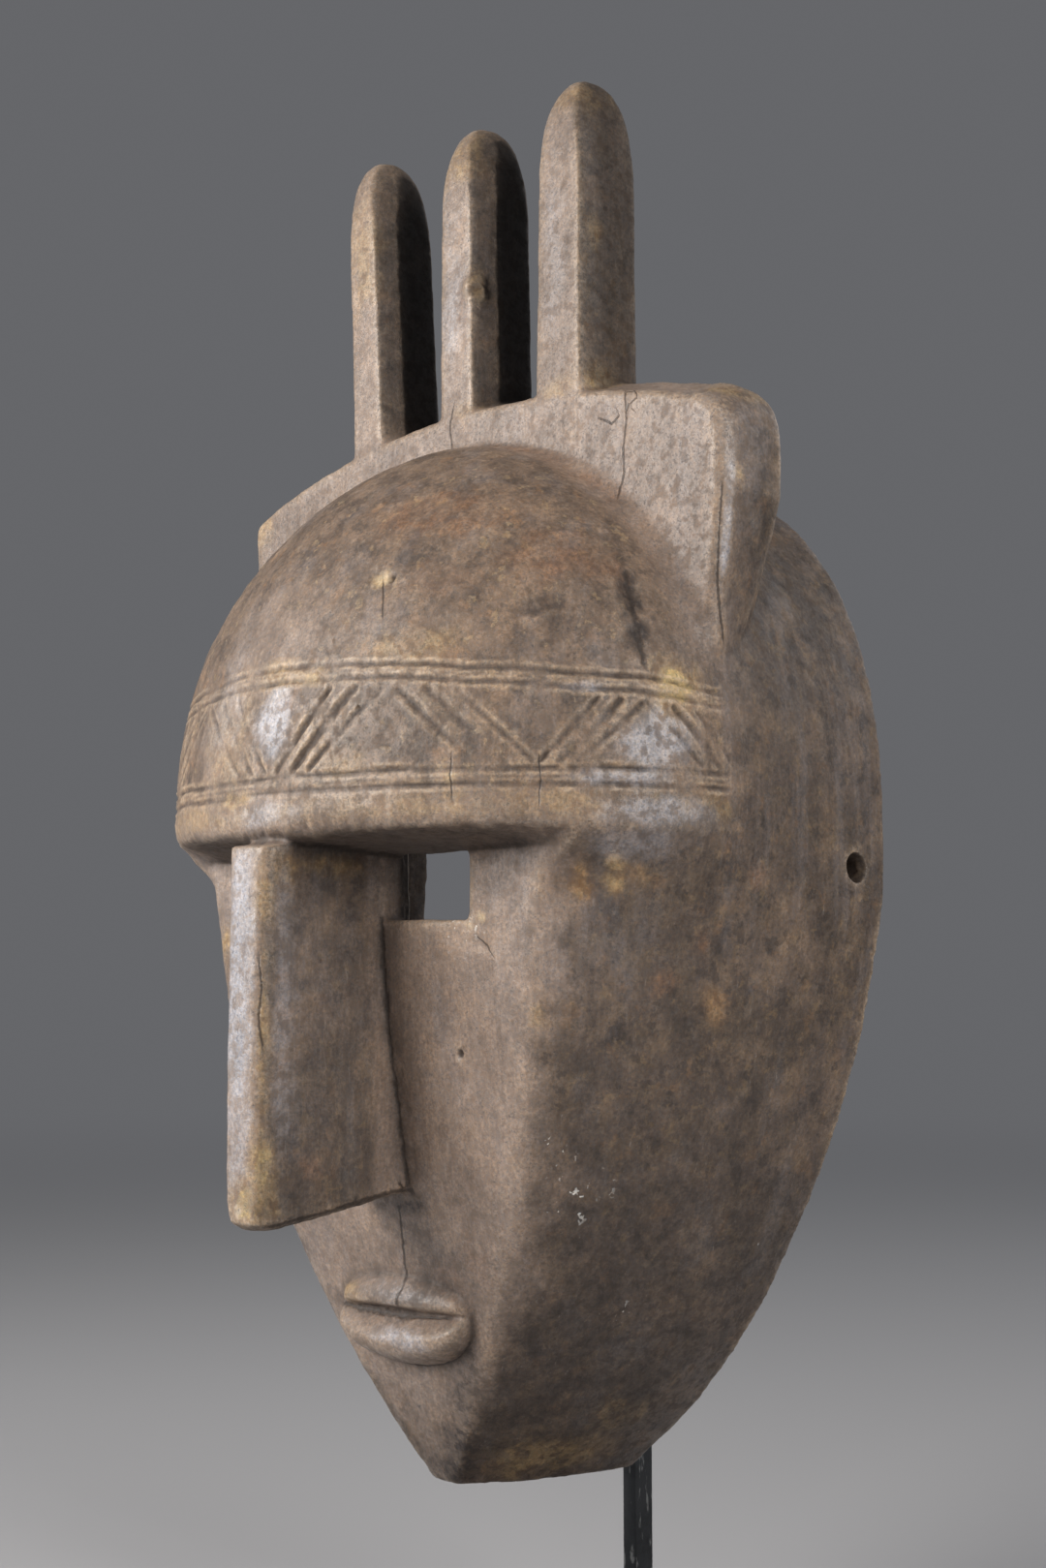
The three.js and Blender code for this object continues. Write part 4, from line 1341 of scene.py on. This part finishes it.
def make_post():
    x = POST_WIDTH / 2
    ceiling = DOME_CENTRE + (DOME_RISE - DOME_WALL) * math.sin(math.radians(HOLLOW_TOP_ANGLE))
    prong_back = CREST_FRONT + CREST_THICKNESS
    prong_front = prong_back - POST_DEPTH
    reach = POST_FRONT + 1
    chin_front = face_front(CHIN_ARM_HEIGHT) + FACE_WALL + 3 + CLEARANCE
    upright = block((-x, POST_FRONT, FOOT_TOP + CLEARANCE), (x, POST_FRONT + POST_DEPTH, POST_TOP), "post")
    arm = block((-x, prong_front, POST_TOP - POST_DEPTH), (x, reach, POST_TOP), "arm")
    prong = block((-x, prong_front, POST_TOP - 1), (x, prong_back, ceiling - CLEARANCE), "prong")
    chin_arm = block((-x, chin_front, CHIN_ARM_HEIGHT - 6), (x, reach, CHIN_ARM_HEIGHT + 6), "chin_arm")
    carve(upright, [arm, prong, chin_arm], "UNION")
    upright.name = "steel_post"
    return soften_edges(upright, POST_BEVEL)


def make_foot():
    low = (-FOOT_HALF_WIDTH, FOOT_FRONT, FOOT_TOP - FOOT_THICKNESS)
    foot = block(low, (FOOT_HALF_WIDTH, FOOT_BACK, FOOT_TOP), "steel_foot")
    return soften_edges(foot, FOOT_BEVEL)


def finish_piece(piece, node, material):
    piece.data.materials.clear()
    piece.data.materials.append(material)
    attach(piece, "root")
    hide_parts(node)


# Floor, backdrop and lights
PALE_FLOOR = (0.50, 0.50, 0.51)
FLOOR_RADIUS = 9.0
BACKDROP = (0.60, 0.61, 0.65)
BACKDROP_STRENGTH = 0.22
STUDIO_MIDDLE = Vector((0.0, 0.0, 0.42))


def make_floor():
    """A pale floor that passes into the backdrop's tone far from the stand."""
    bm = bmesh.new()
    bmesh.ops.create_circle(bm, cap_ends=True, segments=64, radius=FLOOR_RADIUS)
    floor = piece_of(bm, "floor")
    material, finish, shader = new_finish("pale_floor")
    distance = finish.add("ShaderNodeVectorMath", {0: finish.place()}, operation="DISTANCE").outputs["Value"]
    far = finish.steps(distance, 0.5, 3.2)
    backdrop = tuple(part * BACKDROP_STRENGTH for part in BACKDROP)
    black = (0.0, 0.0, 0.0)
    finish.feed(shader, {
        "Base Color": finish.mix(far, PALE_FLOOR, black),
        "Emission Color": finish.mix(far, black, backdrop),
        "Emission Strength": 1.0,
        "Specular IOR Level": 0.0,
        "Roughness": 0.9,
    })
    floor.data.materials.append(material)
    floor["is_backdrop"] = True


def area_light(name, place, size, power, colour):
    light = bpy.data.lights.new(name, "AREA")
    light.shape = "RECTANGLE"
    light.size, light.size_y = size
    light.energy = power
    light.color = colour
    lamp = new_object(name, light)
    lamp.location = place
    lamp.rotation_euler = (STUDIO_MIDDLE - Vector(place)).to_track_quat("-Z", "Y").to_euler()


def make_studio():
    make_floor()
    world = bpy.data.worlds.new("studio")
    world.use_nodes = True
    background = {"Color": BACKDROP, "Strength": BACKDROP_STRENGTH}
    Finish(world.node_tree).feed(world.node_tree.nodes["Background"], background)
    bpy.context.scene.world = world
    area_light("key", (-0.50, -1.18, 0.87), (0.7, 0.7), 21, (1.0, 0.95, 0.90))
    area_light("window", (-1.1, -1.15, 0.56), (0.7, 0.7), 4, (0.78, 0.89, 1.0))
    area_light("fill", (1.45, -0.15, 0.90), (0.7, 0.7), 14, (1.0, 0.96, 0.92))
    area_light("back", (0.4, 1.8, 1.3), (1.2, 0.8), 5, (0.92, 0.95, 1.0))
    bpy.context.scene.view_settings.view_transform = "Standard"


# The photograph's viewing point, its upward tilt and its turn, and a lens for the photograph's upright frame
CAMERA_PLACE = (0.58924, -0.56417, 0.34086)
CAMERA_TILT = 5.097
CAMERA_TURN = 45.0
CAMERA_LENS = 42.25


def make_camera():
    camera = bpy.data.cameras.new("camera")
    camera.sensor_fit = "AUTO"
    camera.sensor_width = 36.0
    camera.lens = CAMERA_LENS
    camera.clip_start = 0.01
    view = new_object("camera", camera)
    view.location = CAMERA_PLACE
    view.rotation_euler = (math.radians(90 + CAMERA_TILT), 0.0, math.radians(CAMERA_TURN))
    bpy.context.scene.camera = view


finish_piece(make_mask(), "mask", carved_wood())
finish_piece(
    make_post(), "stand_post",
    blackened_steel("post_steel", (0.055, 0.058, 0.062), (0.42, 0.43, 0.42), 0.03),
)
finish_piece(
    make_foot(), "stand_foot",
    blackened_steel("foot_steel", (0.045, 0.046, 0.050), (0.30, 0.30, 0.30), 0.0),
)
make_studio()
make_camera()

for box in (CAD_BOX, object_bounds()):
    json.dumps([[round(value, 5) for value in corner] for corner in box]) + "\n"
